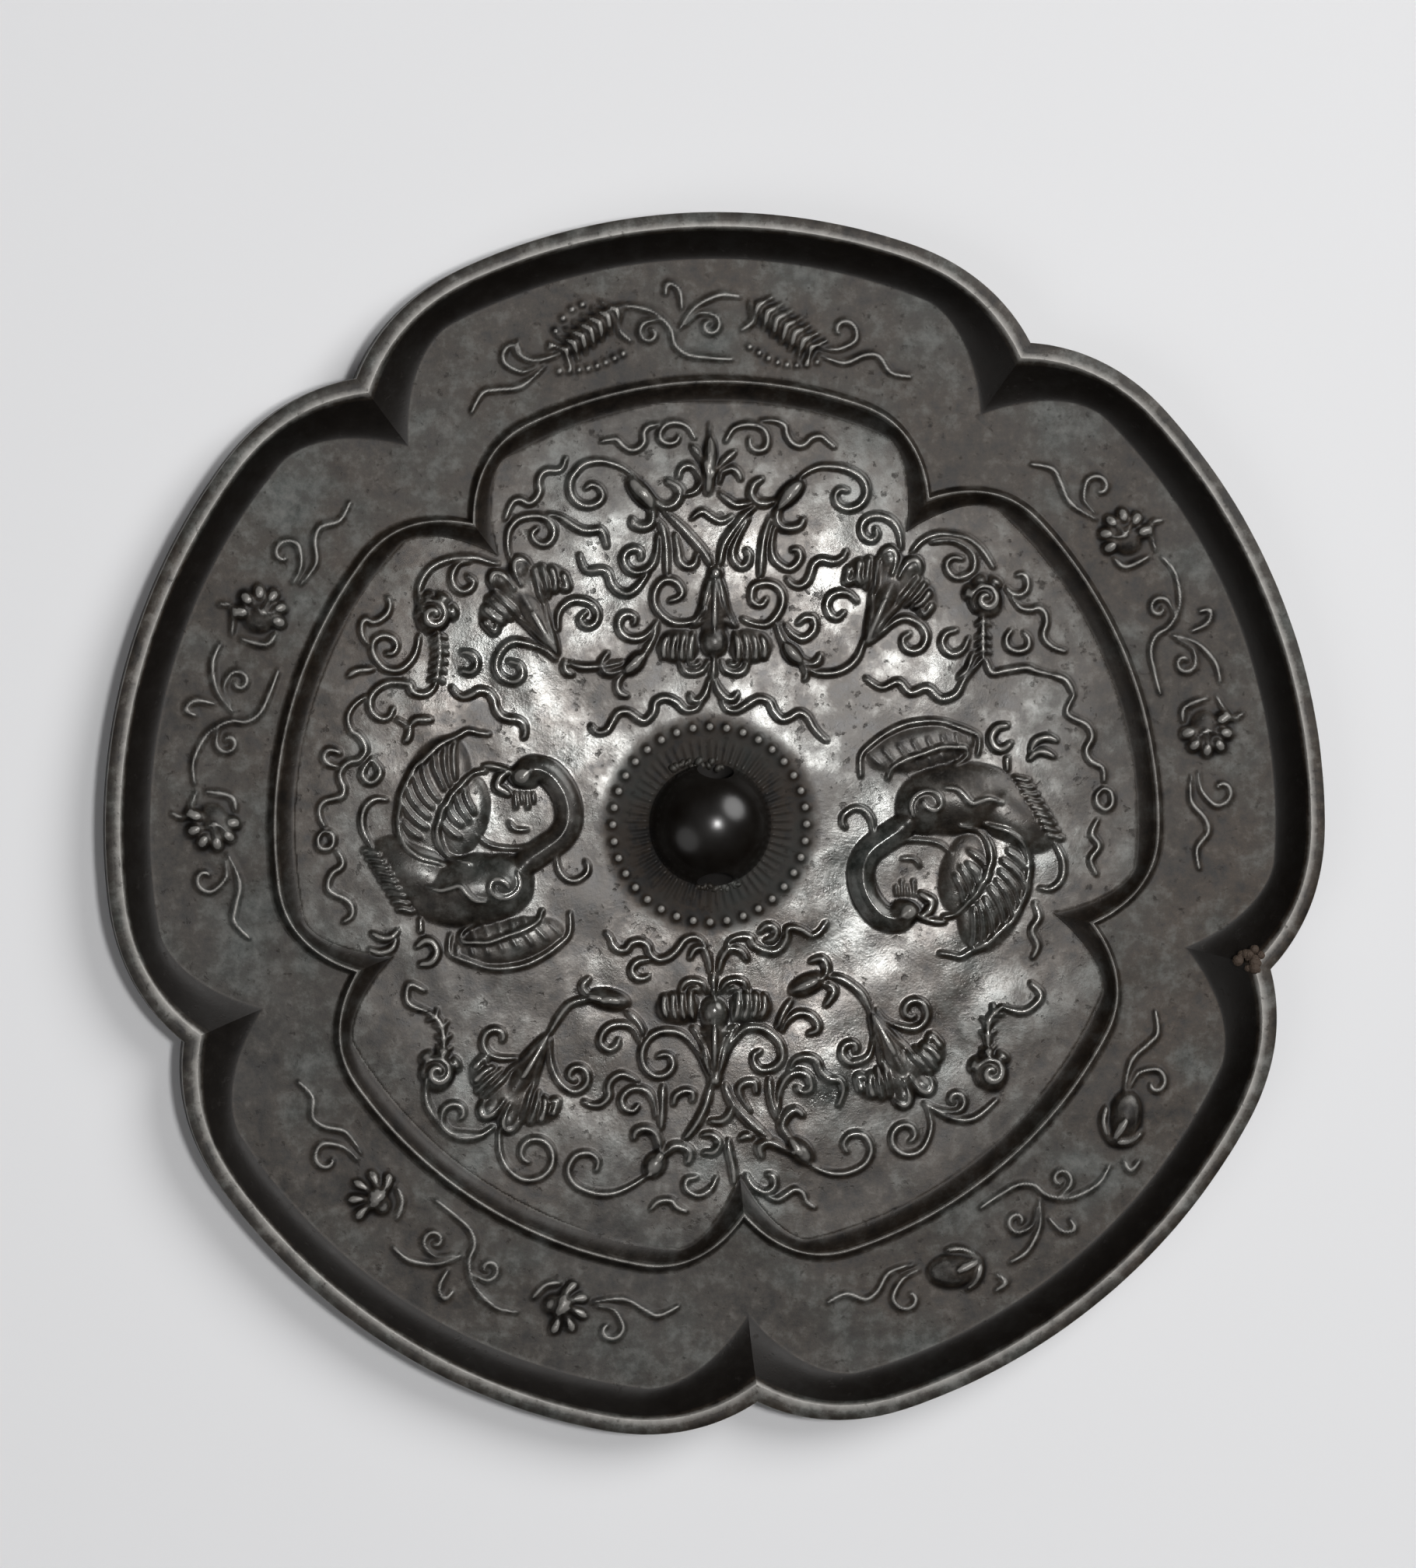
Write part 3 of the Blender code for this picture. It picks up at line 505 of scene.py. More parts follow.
def upper_sprays(relief):
    """Vines and flowers above the knob, under the top lobe of the ridge."""
    vine = relief.vine
    vine(-19.3, 62.6, -17.7, 62.9, -16.8, 62.9, -15.8, 61.9, -14.6, 61.2, -13.2, 61.5, -12.3, 62.6,
         -12.4, 63.9, -11.7, 65, -9.9, 65.4)
    vine(-4, 63.1, -5.2, 65, -7, 65.7, -8.7, 65.4, -9.7, 64.2, -9.6, 62.9, -8.4, 62.3, -7.1, 62.6,
         -6.7, 63.4)
    vine(1, 62.7, 2.2, 64.7, 4.1, 65.4, 6, 65.3, 7.3, 64.6, 7.9, 63.2, 7.6, 61.7, 6.3, 61.2, 5.1, 61.8,
         4.9, 63.1)
    vine(6.8, 66.1, 9.1, 66.1, 10.7, 65.3, 11, 63.9, 11.9, 62.5, 13.2, 62, 14.2, 62.4, 15.1, 63.3,
         16.6, 63.6, 17.7, 62.8, 18.9, 61.8)
    relief.lens(-1.7, 58.6, 9.6, 2.1, 87.0, 1.3)
    vine(-1.5, 61, -1.7, 65.6, width=0.7, ends=(0.9, 0.3))
    vine(-1.8, 57, -3.2, 60.2, -4.5, 61.9)
    vine(-1.4, 57, 0.9, 59.6, 2.5, 61)
    vine(-5.6, 54, -4, 54.5, -3.1, 55.9, -3.5, 57.5, -4.5, 58.6, -5.6, 58.7, -6.5, 57.9, -6.7, 56.7)
    vine(0, 56, 0.3, 57.5, 0.7, 57.9, 2.1, 58.3, 3.1, 57.5, 3.5, 56.5)
    vine(0, 54.2, 1.3, 53.2, 2.6, 52.4, 4.1, 52.5, 5.1, 52.6)
    relief.lens(-12.9, 54.3, 6.2, 2.6, -50.0, 1.5)
    vine(-13.2, 54.7, -11.5, 52.6, -10.9, 50.8, -11.2, 49.3, -12.6, 48.7, -14, 49.2, -14.3, 49.9,
         width=0.85)
    vine(-12.3, 54.8, -10.6, 52.9, -9, 52, -7.4, 52.5, -6.5, 54, -7, 55.3, -8.5, 56.2, width=0.85)
    vine(-13.7, 56.7, -15.6, 58.2, -17.8, 59.1, -19.9, 59.4, -22.1, 58.9, -23.5, 57.6, -24.4, 56,
         -24.2, 53.9, -23.1, 52.6, -21.5, 52.1, -19.9, 52.6, -19.1, 53.7, -19.6, 55, -20.9, 55.6, -21.8, 55)
    relief.lens(11.5, 54.2, 6.2, 2.6, 226.0, 1.5)
    vine(9.1, 53.1, 7.6, 52.6, 6, 52.9, 5.2, 54.2, 5.7, 55.8, 6.8, 56.5, width=0.85)
    vine(11.3, 53.6, 9.7, 51.7, 9.4, 50.1, 10.1, 48.9, 11.6, 48.6, 13.2, 49, 13.7, 50, width=0.85)
    vine(13, 56.7, 14.4, 57.8, 16.3, 58.6, 18.2, 58.7, 20.4, 58.4, 22.3, 57.6, 23.7, 56.4, 24.2, 54.5,
         23.5, 52.9, 22.3, 52, 20.7, 51.8, 19.3, 52.6, 19, 54, 19.8, 55, 21, 54.7)
    vine(-8.8, 51.1, -6.5, 49, -4.6, 47, -3.2, 45.4, -2.1, 43.9, -1.5, 42.8, width=0.75)
    vine(5.7, 52, 4.3, 50.9, 2.9, 49.2, 1.3, 47, 0.5, 45.4, 0, 42.8, width=0.75)
    vine(-10.2, 49.8, -9.3, 48.5, -8.8, 46.1, -8.7, 43.9, -8.6, 41)
    vine(8.2, 50.1, 7.4, 47.6, 7, 45.1, 6.8, 43.1, 6.7, 40.8)
    vine(-7.3, 47.5, -6.8, 45, -6.5, 43.2, -5.2, 42.3, -4, 42.9, -3.7, 44.3)
    vine(4.7, 50.1, 2.9, 47, 2.1, 44.8, 2.4, 43.3, 3.5, 42.3, 4.6, 42.9, 4.9, 44.2, 4.3, 45)
    vine(-10.1, 47.3, -10.3, 44.5, -11.3, 42.2, -13.4, 41.3, -15.1, 42, -15.7, 43.6, -15.1, 44.8,
         -13.8, 45.2, -12.9, 44.7, -12.8, 43.7)
    vine(9, 48.6, 8.5, 46.1, 8.8, 43.9, 10.1, 42.5, 11.5, 42, 12.7, 42.8, 13.3, 44, 12.9, 45.1, 11.9, 45.1)
    vine(-28, 50.8, -26, 50.3, -24, 49, -22.4, 48.2, -20.9, 48.1, -19.6, 48.3, -18.8, 47.3, -18.4, 45.6)
    vine(-22.9, 44.2, -22.1, 42, -20.9, 41.6, -19.3, 41.8, -18.2, 41.2, -17.6, 39.5, -16.5, 38.3,
         -14.9, 37.9, -13.4, 38.9, -12.3, 40.4, -11.7, 41.2)
    vine(11, 40.5, 11.9, 39.5, 13.2, 39.2, 14.4, 40, 15, 41.4, 15.5, 42.8, 16.6, 43.5, 17.9, 43.3,
         19.1, 43.2, 20.4, 44, 20.7, 44.8)
    vine(-4.6, 50.1, -3.7, 50.9, -2.7, 51.3, -1.8, 50.7, -0.7, 50, 0.4, 49.7, 1.9, 50.4, width=0.5)
    hanging_lily(relief, 1.0)
    vine(-2.5, 35.4, -3.7, 33.9, -5.2, 33.2, -7.4, 33.2, -9.3, 34.3, -10.6, 36.1, -10.6, 38.2, -9.6, 39.8,
         -8.4, 40.2, -7, 39.7, -6.1, 38.2, -6.8, 37.2, -8.1, 36.8)
    vine(3.7, 33.9, 5.4, 33.1, 7.6, 32.9, 9.1, 34, 10.2, 35.9, 10.3, 37.8, 9.3, 39.2, 7.6, 39.7, 5.7, 39.2,
         5.2, 37.9, 5.5, 36.5, 6.9, 36.1, 7.6, 37)
    vine(-10.2, 33.4, -11.2, 32, -12.4, 30.9, -14.3, 30.6, -15.9, 31.4, -16.5, 32.9, -16, 34.2, -14.9, 34.6,
         -13.8, 34, -14, 33)
    vine(-10.2, 33.4, -10.7, 31.1, -11.5, 29.5, -12.6, 27.6)
    vine(10.7, 32.9, 11.9, 31.4, 13.5, 30.6, 14.9, 31.2, 15.7, 32.5, 15.4, 33.9, 14.1, 34.1, 12.9, 33.2)
    vine(9.3, 33.2, 9.9, 31.4, 10.7, 29.8, 11.9, 28.2, 13.5, 26.7, 14.3, 25.1, 14, 24)
    vine(12.1, 28.2, 13.5, 27, 15.1, 26.4, 16.2, 27, 16.5, 27.9, width=0.8)
    relief.lens(-13.9, 26.6, 4.4, 2.2, 50.0, 1.2)
    relief.lens(11.9, 28.2, 4.0, 2.2, -50.0, 1.2)
    vine(-18.4, 28.2, -19.3, 26.7, -19, 25.4, -17.8, 25, -16.5, 25.3, -14.4, 26.4, width=0.8)
    vine(-14.8, 25.6, -16.5, 24, -16.7, 22.7, -16.2, 21.7, -15.1, 21.3)
    vine(14.4, 25.7, 16.3, 25, 19.1, 25.1, 21.3, 26.1, 22.9, 27.9, 23.8, 30.4)
    vine(-15.8, 26.8, -18.6, 26.2, -22.4, 26, -24.6, 26.6)
    vine(22.6, 36.7, 21.3, 37.9, 19.7, 38.2, 18.2, 37.5, 17.6, 36.1, 18.2, 34.5, 19.4, 34, 20.4, 34.8)
    vine(-26.4, 32, -26.4, 34.2, -25.7, 35.7, -24, 36.8, -22.1, 36.7, -20.6, 35.9, -19.9, 34.5, -20.4, 33.1,
         -21.5, 32.6, -22.6, 33.1, -22.7, 34, -21.9, 34.8)


def upper_left_sprays(relief):
    """Vines, a rosebud and a lily above the left bird."""
    vine = relief.vine
    vine(-25.1, 59.8, -25.7, 58.2, -26.7, 57.8, -28.2, 57.8, -29.2, 57, -29.5, 55.7, -29.3, 54.5, -30, 53.2,
         -31.1, 52.5, -32.5, 53.1, -33.6, 52.8, -34.3, 51.7, -34.9, 50)
    vine(-34, 43.2, -34.5, 45.1, -34.5, 47.3, -34, 48.7, -32.8, 49.9, -31.1, 50.4, -29.3, 50.4, -27.8, 49.7,
         -27, 48.1, -27.5, 46.5, -28.7, 45.8, -30.1, 46.4, -30.6, 47.6, -29.8, 48.4)
    vine(-36.1, 42.6, -37.9, 43.1, -39.5, 43.6, -41.4, 43.7, -43.9, 43.4, -46.1, 42.6, -47.6, 41.4,
         -48.7, 39.5, -49, 37.6, -48.7, 35.7, -48.4, 34.8)
    vine(-40.7, 43, -42.3, 42.8, -43.2, 41.8, -43.6, 40.4, -43.1, 38.9, -41.8, 38.2, -40.6, 38.7,
         -40.1, 39.8, -41.1, 40.7)
    rosebud(relief, -46.6, 34.4, 60.0)
    rope(relief, -45.9, 31.7, -45.7, 30.1, -45.6, 28.2, -45.8, 26.1, -46.1, 24)
    vine(-46.1, 24, -46.5, 22.7, -47.6, 21.7, -48.9, 21.6, -50.1, 22.1, -50.6, 23.2, -53.2, 23.5,
         -55.1, 22.9, -56.4, 21.7, -56.9, 20.6, -56.7, 19, -55.7, 17.9, -54.5, 17.6, -53.6, 18.1,
         -53.2, 19.2)
    vine(-48.9, 31.1, -49.2, 29.2, -49.8, 27.6, -51.1, 26.1, -52.6, 25.4, -54.5, 25.8, -55.9, 27.3,
         -56.5, 29, -56.1, 30.4, -54.7, 31.1, -53.1, 30.6, -52.5, 29.3, -53.2, 28.2, -54.2, 28.2)
    vine(-60.4, 24.5, -58.9, 25.4, -56.4, 25.6)
    vine(-54, 37.3, -53.6, 36.1, -54, 34.7, -55.1, 33.7, -56.4, 33.2, -57.5, 33.7, -58.2, 32.9, -58.1, 31.1,
         -57.2, 29.7)
    vine(-42, 28.4, -40.7, 28.2, -39.7, 27.3, -39.7, 25.9, -40.7, 25.1, -42, 25.4)
    vine(-26.7, 27.2, -28.9, 28.9, -31.4, 29.8, -33.6, 30.1, -35.1, 29.3, -36.2, 27.6, -36.4, 25.7,
         -35.4, 24.2, -33.5, 23.6, -32.2, 24.6, -32.6, 26.3, -34.3, 26.9)
    vine(-25.4, 27, -25.1, 25.4, -24, 24.8)
    lily(relief, -26.2, 27.6, -34.8, 42.0)


def upper_right_sprays(relief):
    """Vines, a rosebud and a lily above the right bird."""
    vine = relief.vine
    vine(29.9, 45.4, 29.6, 47.9, 28.7, 49.5, 27.3, 50.4, 25.6, 50.7, 24, 50.1, 23.3, 48.8, 23.7, 47.3,
         25, 46.7, 25.9, 47.5, 25.6, 48.5)
    vine(31.7, 44.8, 33.4, 46.7, 35.9, 47.7, 38.4, 47.6, 40.9, 47, 42.7, 45.7, 44, 44.2, 45.2, 42.3)
    vine(34.9, 46.4, 37.1, 46.7, 39, 46.5, 40.6, 45.7, 41.8, 44.5, 42.1, 42.9, 41.5, 41.4, 39.3, 40.6,
         37.9, 41.4, 37.4, 42.9, 38.4, 43.9, 40, 43.7)
    vine(49, 41.1, 50.2, 41.2, 50.9, 40.1, 50.7, 38.6, 49.5, 37.8, 48.1, 38.2, 47.3, 39)
    rosebud(relief, 43.9, 37.2, 110.0)
    rope(relief, 43.4, 34.5, 43.4, 31.7, 43.4, 29.8, 43.5, 27.6)
    vine(43.5, 27.6, 44, 27, 44.9, 25.1, 47.1, 25.4, 50.6, 25.9, 52.1, 25.4, 54.6, 24.8)
    vine(39.3, 24.2, 40.9, 25.7, 41.8, 28.2)
    vine(24.6, 30, 26.5, 31.4, 28.1, 32.9, 29.6, 33.8, 31.2, 33.9, 33.1, 32.9, 34.1, 31.1, 33.4, 29.2,
         31.8, 28.6, 30.4, 29.3, 30.2, 30.7, 31.2, 31.4)
    vine(41, 30.7, 40.2, 28.9, 38.5, 28.1, 37.1, 28.9, 36.7, 30.4, 37.5, 31.6, 39, 32)
    vine(50.1, 31.7, 51, 30.7, 50.9, 29.2, 49.3, 28.6, 47.7, 29.2, 47.3, 30.7, 48.1, 32)
    vine(48.1, 37.6, 49, 36.4, 49.9, 35.6, 51.5, 35.4, 52.7, 35.7, 53.8, 34.8, 54, 33.2, 53.5, 31.7,
         53.8, 30.4, 55.2, 29.2, 57.1, 28.6)
    lily(relief, 24.0, 29.4, 30.2, 44.0)


def left_sprays(relief):
    """Tendrils between the left bird and the ridge."""
    vine = relief.vine
    vine(-57.6, 21.2, -59.2, 20.1, -60.3, 18.5, -60.4, 17.1, -59.8, 15.6, -58.9, 15.1, -57.9, 13.8,
         -57.6, 12.4, -58.6, 11, -60.1, 10.7, -61.2, 9.9, -61.8, 8.7, -61.5, 7.4, -61.1, 6.5, -61.4, 5.2,
         -62.6, 4.8, -64.3, 4.3, -65.1, 3.1, -64.9, 1.5, -64.2, 0.2)
    vine(-61.7, 9.9, -62.9, 10.1, -64, 10.7, -64.3, 11.7, -63.6, 12.6, -62.3, 12.4, -61.7, 12)
    vine(-56.7, 11.2, -55.6, 9.9, -55.3, 8.7, -56.1, 7.6, -57.2, 7.4, -58.1, 8.4, -57.9, 9.6, -56.7, 11.2)
    vine(-64.5, -0.5, -65.3, -1.6, -65.1, -3, -64.2, -3.4, -63.1, -3, -62.8, -1.6, -63.4, -0.7, -64.5, -0.5)
    vine(-62.4, -3.5, -61.7, -4.4, -61.3, -5.7, -61.8, -6.5, -62.9, -7.2, -63.6, -8.5, -63.6, -9.9,
         -62.6, -10.7, -61.2, -11.3, -60.1, -12.2, -59.7, -13.3, -60, -14.4, -61.1, -15.1)
    vine(-52.6, 17.6, -50.4, 16.3)
    vine(-50.4, 16.5, -49.5, 17.4, -48.2, 17.5, -47, 17.4)
    vine(-50.4, 16.5, -50.6, 14.9, -51.1, 14)
    vine(-43.7, 22.7, -42.9, 21.7, -41.8, 21.1, -40.4, 21.5, -39.2, 22.2, -37.8, 21.9, -36.8, 20.7,
         -36.5, 19.3, -35.7, 18.1, -34.5, 17.6, -33.1, 17.5, -32, 16.8, -31.7, 15.6, -31.9, 14.6)


def right_sprays(relief):
    """Tendrils between the right bird and the ridge."""
    vine = relief.vine
    vine(58.6, 21.4, 57.4, 18.4, 60.6, 16.6, 61.6, 14.6, 60.6, 12.4, 61.4, 10.6, 63.4, 9.4, 63.6, 7.2)
    vine(54.6, 24.8, 57.2, 23.9, 58.6, 21.4)
    vine(62.6, 1, 61.6, -1.4, 62.8, -3.4, 61.4, -5.6, 62.4, -8)
    vine(63.6, 6.2, 62.4, 5, 62.6, 3.4, 63.9, 2.6, 65, 3.6, 64.8, 5.4, 63.6, 6.2)
    vine(52, -12.6, 52.8, -15, 51.6, -17.2, 52.6, -19.6, 51.8, -21.6)
    vine(24, 24.2, 26.6, 22.6, 29.4, 23.6, 31.4, 21.8, 34.2, 22.6, 36.4, 20.8, 39, 21.6, 40.4, 24,
         43.5, 27.6)


def lower_sprays(relief):
    """Vines and flowers below the knob."""
    vine = relief.vine
    hanging_lily(relief, -1.0)
    vine(-1.5, -40.4, -2.8, -37.8, -4.8, -34.9, -7, -33.4, -9.6, -33.3, -11.6, -34.4, -12.7, -36.5,
         -12.4, -38.8, -10.9, -40.4, -9, -40.4, -7.7, -39.1, -7.9, -37.5, -9, -37, -10.1, -37.3)
    vine(-0.2, -40.4, 1.1, -36.8, 2.4, -34.6, 4.3, -32.9, 6.6, -32.8, 8.5, -33.8, 10, -35.5, 10.3, -37.8,
         8.9, -39.4, 6.9, -39.7, 5.8, -38.8, 5.6, -37.3, 6.6, -36.7)
    vine(-15.2, -29.9, -13.2, -32, -12.4, -33.9)
    vine(-13, -34.9, -14, -32.9, -15.5, -32.1, -17.8, -32.3, -19.2, -33.6, -19.4, -35.2, -18.1, -36.2,
         -16.8, -35.5, -16.6, -34.6)
    vine(11.8, -28.3, 10.5, -30.4, 9.5, -32.9)
    vine(10.3, -33.3, 11.1, -31.7, 12.8, -30.5, 14.7, -30.7, 16, -32, 16, -33.3, 14.7, -33.8)
    vine(-9.3, -42.1, -9.4, -45.4, -9.6, -49.1)
    vine(-10.4, -47.2, -10.8, -44.6, -12.2, -42.8, -14.5, -42.6, -16, -44.1, -15.6, -45.7, -14.2, -46.2,
         -13.4, -45.4)
    vine(-1.5, -42, -2.2, -45.2, -3.8, -48.4, -5.6, -50.7, width=0.8)
    vine(-7.5, -45.2, -7.2, -43.8, -5.7, -43, -4.4, -43.4, -4.4, -44.6)
    vine(-13.4, -41.5, -14.5, -40.7, -16.1, -40.2, -17.6, -41, -18.2, -42.3, -18.1, -43.8, -19.4, -45.1,
         -21, -45.2, -22.2, -44.6)
    vine(-14, -50.7, -13.7, -49.6, -12.2, -49.1, -10.6, -49.9, -9.8, -52, -10, -53.9, width=0.9)
    vine(-10, -53.9, -8.8, -53, -7.4, -52, -5.7, -52.3, -4.8, -53.3, -5.1, -54.6, width=0.9)
    relief.lens(-10.6, -55.0, 4.6, 3.4, 60, 1.2, 0.7)
    vine(-11.4, -56.6, -15.2, -58.8, -18.1, -59.7, -21, -59.4, -23.8, -58, -24.8, -55.6, -23.6, -53.4,
         -21.4, -53, -19.9, -54.2, -20.2, -55.8)
    vine(2.1, -44.9, 1.7, -46.8, 0.4, -48, -1.5, -48)
    vine(-2.8, -50.2, -1.2, -50.2, 0.1, -51.5, -0.9, -53.1, -2.5, -53.1)
    vine(1.4, -51, 1.6, -53, 2.2, -55.5, 2.4, -58.1)
    vine(3.4, -50.9, 4.4, -50.4, 5.3, -50.7)
    vine(-0.5, -57.2, -1.5, -59.1, -3.5, -60.1, -5.4, -59.1, -5.4, -57.5, -3.8, -57.2)
    vine(4.3, -56.8, 5.6, -58.8, 7.6, -59.7, 9, -58.8, 8.9, -57.2, 7.9, -56.7)
    vine(-11.3, -62.3, -10, -61, -8, -60.9, -7, -62, -5.4, -62.7)
    vine(7.9, -60.4, 9.5, -60.9, 11, -60.1, 12.4, -59.3, 13.7, -59.9, 14.4, -61.4, 15.7, -62.3)
    vine(0.8, -42, 2.1, -44.9, 4.6, -47.8, 7.9, -50.7, width=0.8)
    vine(5, -46.5, 3.5, -44.2, 3.2, -42.6, 4.3, -41.7, 5.8, -41.8, 6.1, -43.3)
    vine(8.1, -41, 8.5, -44.6, 9.5, -47.6)
    vine(9.7, -46.5, 9.7, -43.6, 11.1, -40.9, 13.1, -40.1, 14.7, -41, 15, -42.8, 13.7, -43.4, 12.6, -42.6)
    vine(11.5, -39.7, 12.4, -38.1, 14.4, -37.6, 16, -38.4, 16.7, -40.1, 18, -41.2, 19.6, -41.5, 20.4, -43,
         19.6, -45.5)
    vine(13.7, -47.2, 12.4, -46.3, 11, -47.2, 10.3, -48.8, 11.1, -50.4, 13, -53.2, width=0.9)
    vine(6.9, -53.9, 6.6, -52.3, 7.9, -51.5, 9.5, -52, 12, -53.4, width=0.9)
    relief.lens(13.3, -53.0, 5.4, 3.2, 132, 1.2, 0.7)
    vine(14.6, -55.1, 16.7, -56.2, 18.9, -56.8, 21.4, -56.6, 24, -55.2, 25, -52.8, 23.8, -50.6, 21.6, -50.4,
         20.4, -51.8, 21, -53.2)
    relief.lens(-18.0, -28.0, 7.0, 3.0, -12, 1.0, 0.7)
    vine(-19.4, -28.3, -18, -28.1, -16.6, -28.4, width=0.5)
    vine(-21.4, -24.6, -22.4, -25.8, -21.4, -27.4, -19.8, -27.9, width=0.7)
    relief.lens(14.4, -25.8, 6.4, 3.0, 24, 1.0, 0.7)
    vine(13, -26.4, 14.4, -25.8, 15.8, -25.2, width=0.5)
    vine(15, -22, 16.7, -21.6, 17.6, -22.6, 17.6, -23.9, 17, -24.9, width=0.7)
    vine(17, -25.7, 18.3, -26, 18.8, -27.1, 17.6, -29.1, width=0.7)
    vine(-20.2, -27.8, -24.6, -28.8, -27.8, -33.4)
    vine(17.6, -24.6, 19.3, -24.7, 21, -25.4, 23.4, -27.4, 24.9, -30.2)
    vine(-27.7, -34.5, -27.6, -38, -26.3, -41.2, -24.2, -42.9, scroll=(-23.5, -40.5, 1.0))
    vine(-33, -37.4, -35.8, -37.4, scroll=(-36.3, -34.4, -0.8))
    vine(-36, -49, -35.9, -52.5, -34.6, -55.4, scroll=(-30.6, -53.2, 1.1))
    vine(-47.9, -40.5, -47.6, -45, -44, -49.7, -40, -50.3, -37, -48.7)
    vine(-39, -49.7, -42, -49.6, scroll=(-43.0, -46.6, -0.9))
    rosebud(relief, -46.0, -39.6, 75.0)
    rope(relief, -45.2, -37, -45, -34.5, -45.6, -31.6, -47.6, -29.8)
    vine(-47.6, -29.8, -50.8, -28.3, -50.6, -25.4, -48.1, -26.4)
    vine(25.8, -30, 27.5, -31.9, 30.5, -33, scroll=(31.9, -30.4, 1.1))
    vine(25.5, -34, 24.6, -37.6, 21.8, -38.7, scroll=(21.8, -36.6, -0.8))
    vine(34.2, -45.8, 35, -49, 34, -52.2, scroll=(30.9, -50.8, -1.1))
    vine(33.7, -45.3, 38, -47.8, 42, -48, 45.8, -45)
    vine(34, -45.6, 36.4, -46.6, 38.8, -46.9, scroll=(38.9, -45.0, 0.9))
    rosebud(relief, 44.9, -40.4, 105.0)
    rope(relief, 44.5, -38, 44.3, -34.6, 44.6, -31.6, 46.6, -29.7)
    vine(46.6, -29.7, 50.4, -30.5, 53.2, -28, 51.4, -25.8)
    lily(relief, -27.8, -33.2, -36.6, -47.6)
    lily(relief, 24.7, -30.0, 32.5, -44.3)


def knob_sprays(relief):
    """Waving tendrils that spring from the hanging lilies on the knob's side."""
    vine = relief.vine
    vine(-1.6, 24.1, -2.2, 21.9, -3.2, 20.6, -4.4, 20.6, -4.9, 21.5)
    vine(-2.8, 20.6, -3.8, 19.2, -5.4, 18.9, -6.2, 19.4, -7.1, 20.3, -8.9, 21, -10.5, 20.3, -10.8, 18.7,
         -12.1, 17.3, -13.3, 17.6, -14.9, 18.7, -16.5, 18.6, -17.5, 17.2, -18.4, 15.7, -20, 15.4, -21, 16.4)
    vine(-0.9, 24.1, -0.3, 22.5, 1, 21, 2.2, 20.8, 2.8, 21.6)
    vine(0.3, 20.6, 1.3, 19.1, 2.9, 18.9, 4.4, 19.8, 6.4, 20.9, 8.2, 20.3, 8.9, 18.8, 10.2, 17.5,
         11.6, 17.8, 13, 18.6, 14.4, 17.9, 15.4, 16.2, 16.6, 14.8, 17.6, 14)
    vine(-1.5, -23.6, -1.8, -21.6, -2.5, -20, -3.5, -19.7, -4.3, -20.2, -4.8, -21.3)
    vine(-18.6, -17.1, -17.8, -18.1, -17.4, -19.2, -16.5, -20, -15.2, -19.9, -14.5, -18.9, -12.9, -18.6,
         -11.7, -19.4, -11.3, -20.7, -10, -21.6, -8.3, -21.2, -6.9, -20, -5.7, -18.4, -4.1, -17.9,
         -2.8, -18.7, -2.3, -19.7)
    vine(-11.3, -21.6, -13.2, -21.8, -14.3, -22.9, -14, -24.2, -12.9, -24.7, -11.7, -24.4)
    vine(-0.2, -23.6, 0.3, -21.6, 1.4, -20, 2.7, -19.9, 3.8, -20.5, 4.5, -21.6)
    vine(1.1, -20, 1.7, -18.6, 3.4, -17.9, 5, -18.1, 5.5, -19.2, 6.9, -20, 8.9, -20.4, 10.2, -19.7,
         11, -18.1, 11.1, -16.8, 12.1, -16.5, 13.7, -17, 15, -17.8, 16.3, -17.4, 17.5, -15.8)
    vine(6.6, -17.1, 7.6, -16.2, 8.7, -16.3, 9.4, -17.3, 8.7, -18.4, 7.6, -18.6)


def phoenix(relief, turned):
    """A phoenix with its neck bent back over its body, drawn once and turned for its mate."""

    def spot(x, y):
        if turned:
            return (-1.3 - x, -5.7 - y)
        return (x, y)

    def stroke(*numbers, **settings):
        relief.vine(*[value for point in pairs(numbers) for value in spot(*point)], **settings)

    def mass(x, y, length, width, heading, rise, power=0.6):
        relief.lens(*spot(x, y), length, width, heading, rise, power)

    phoenix_body(stroke, mass)
    phoenix_wing(stroke, mass)
    phoenix_tail(stroke, mass)


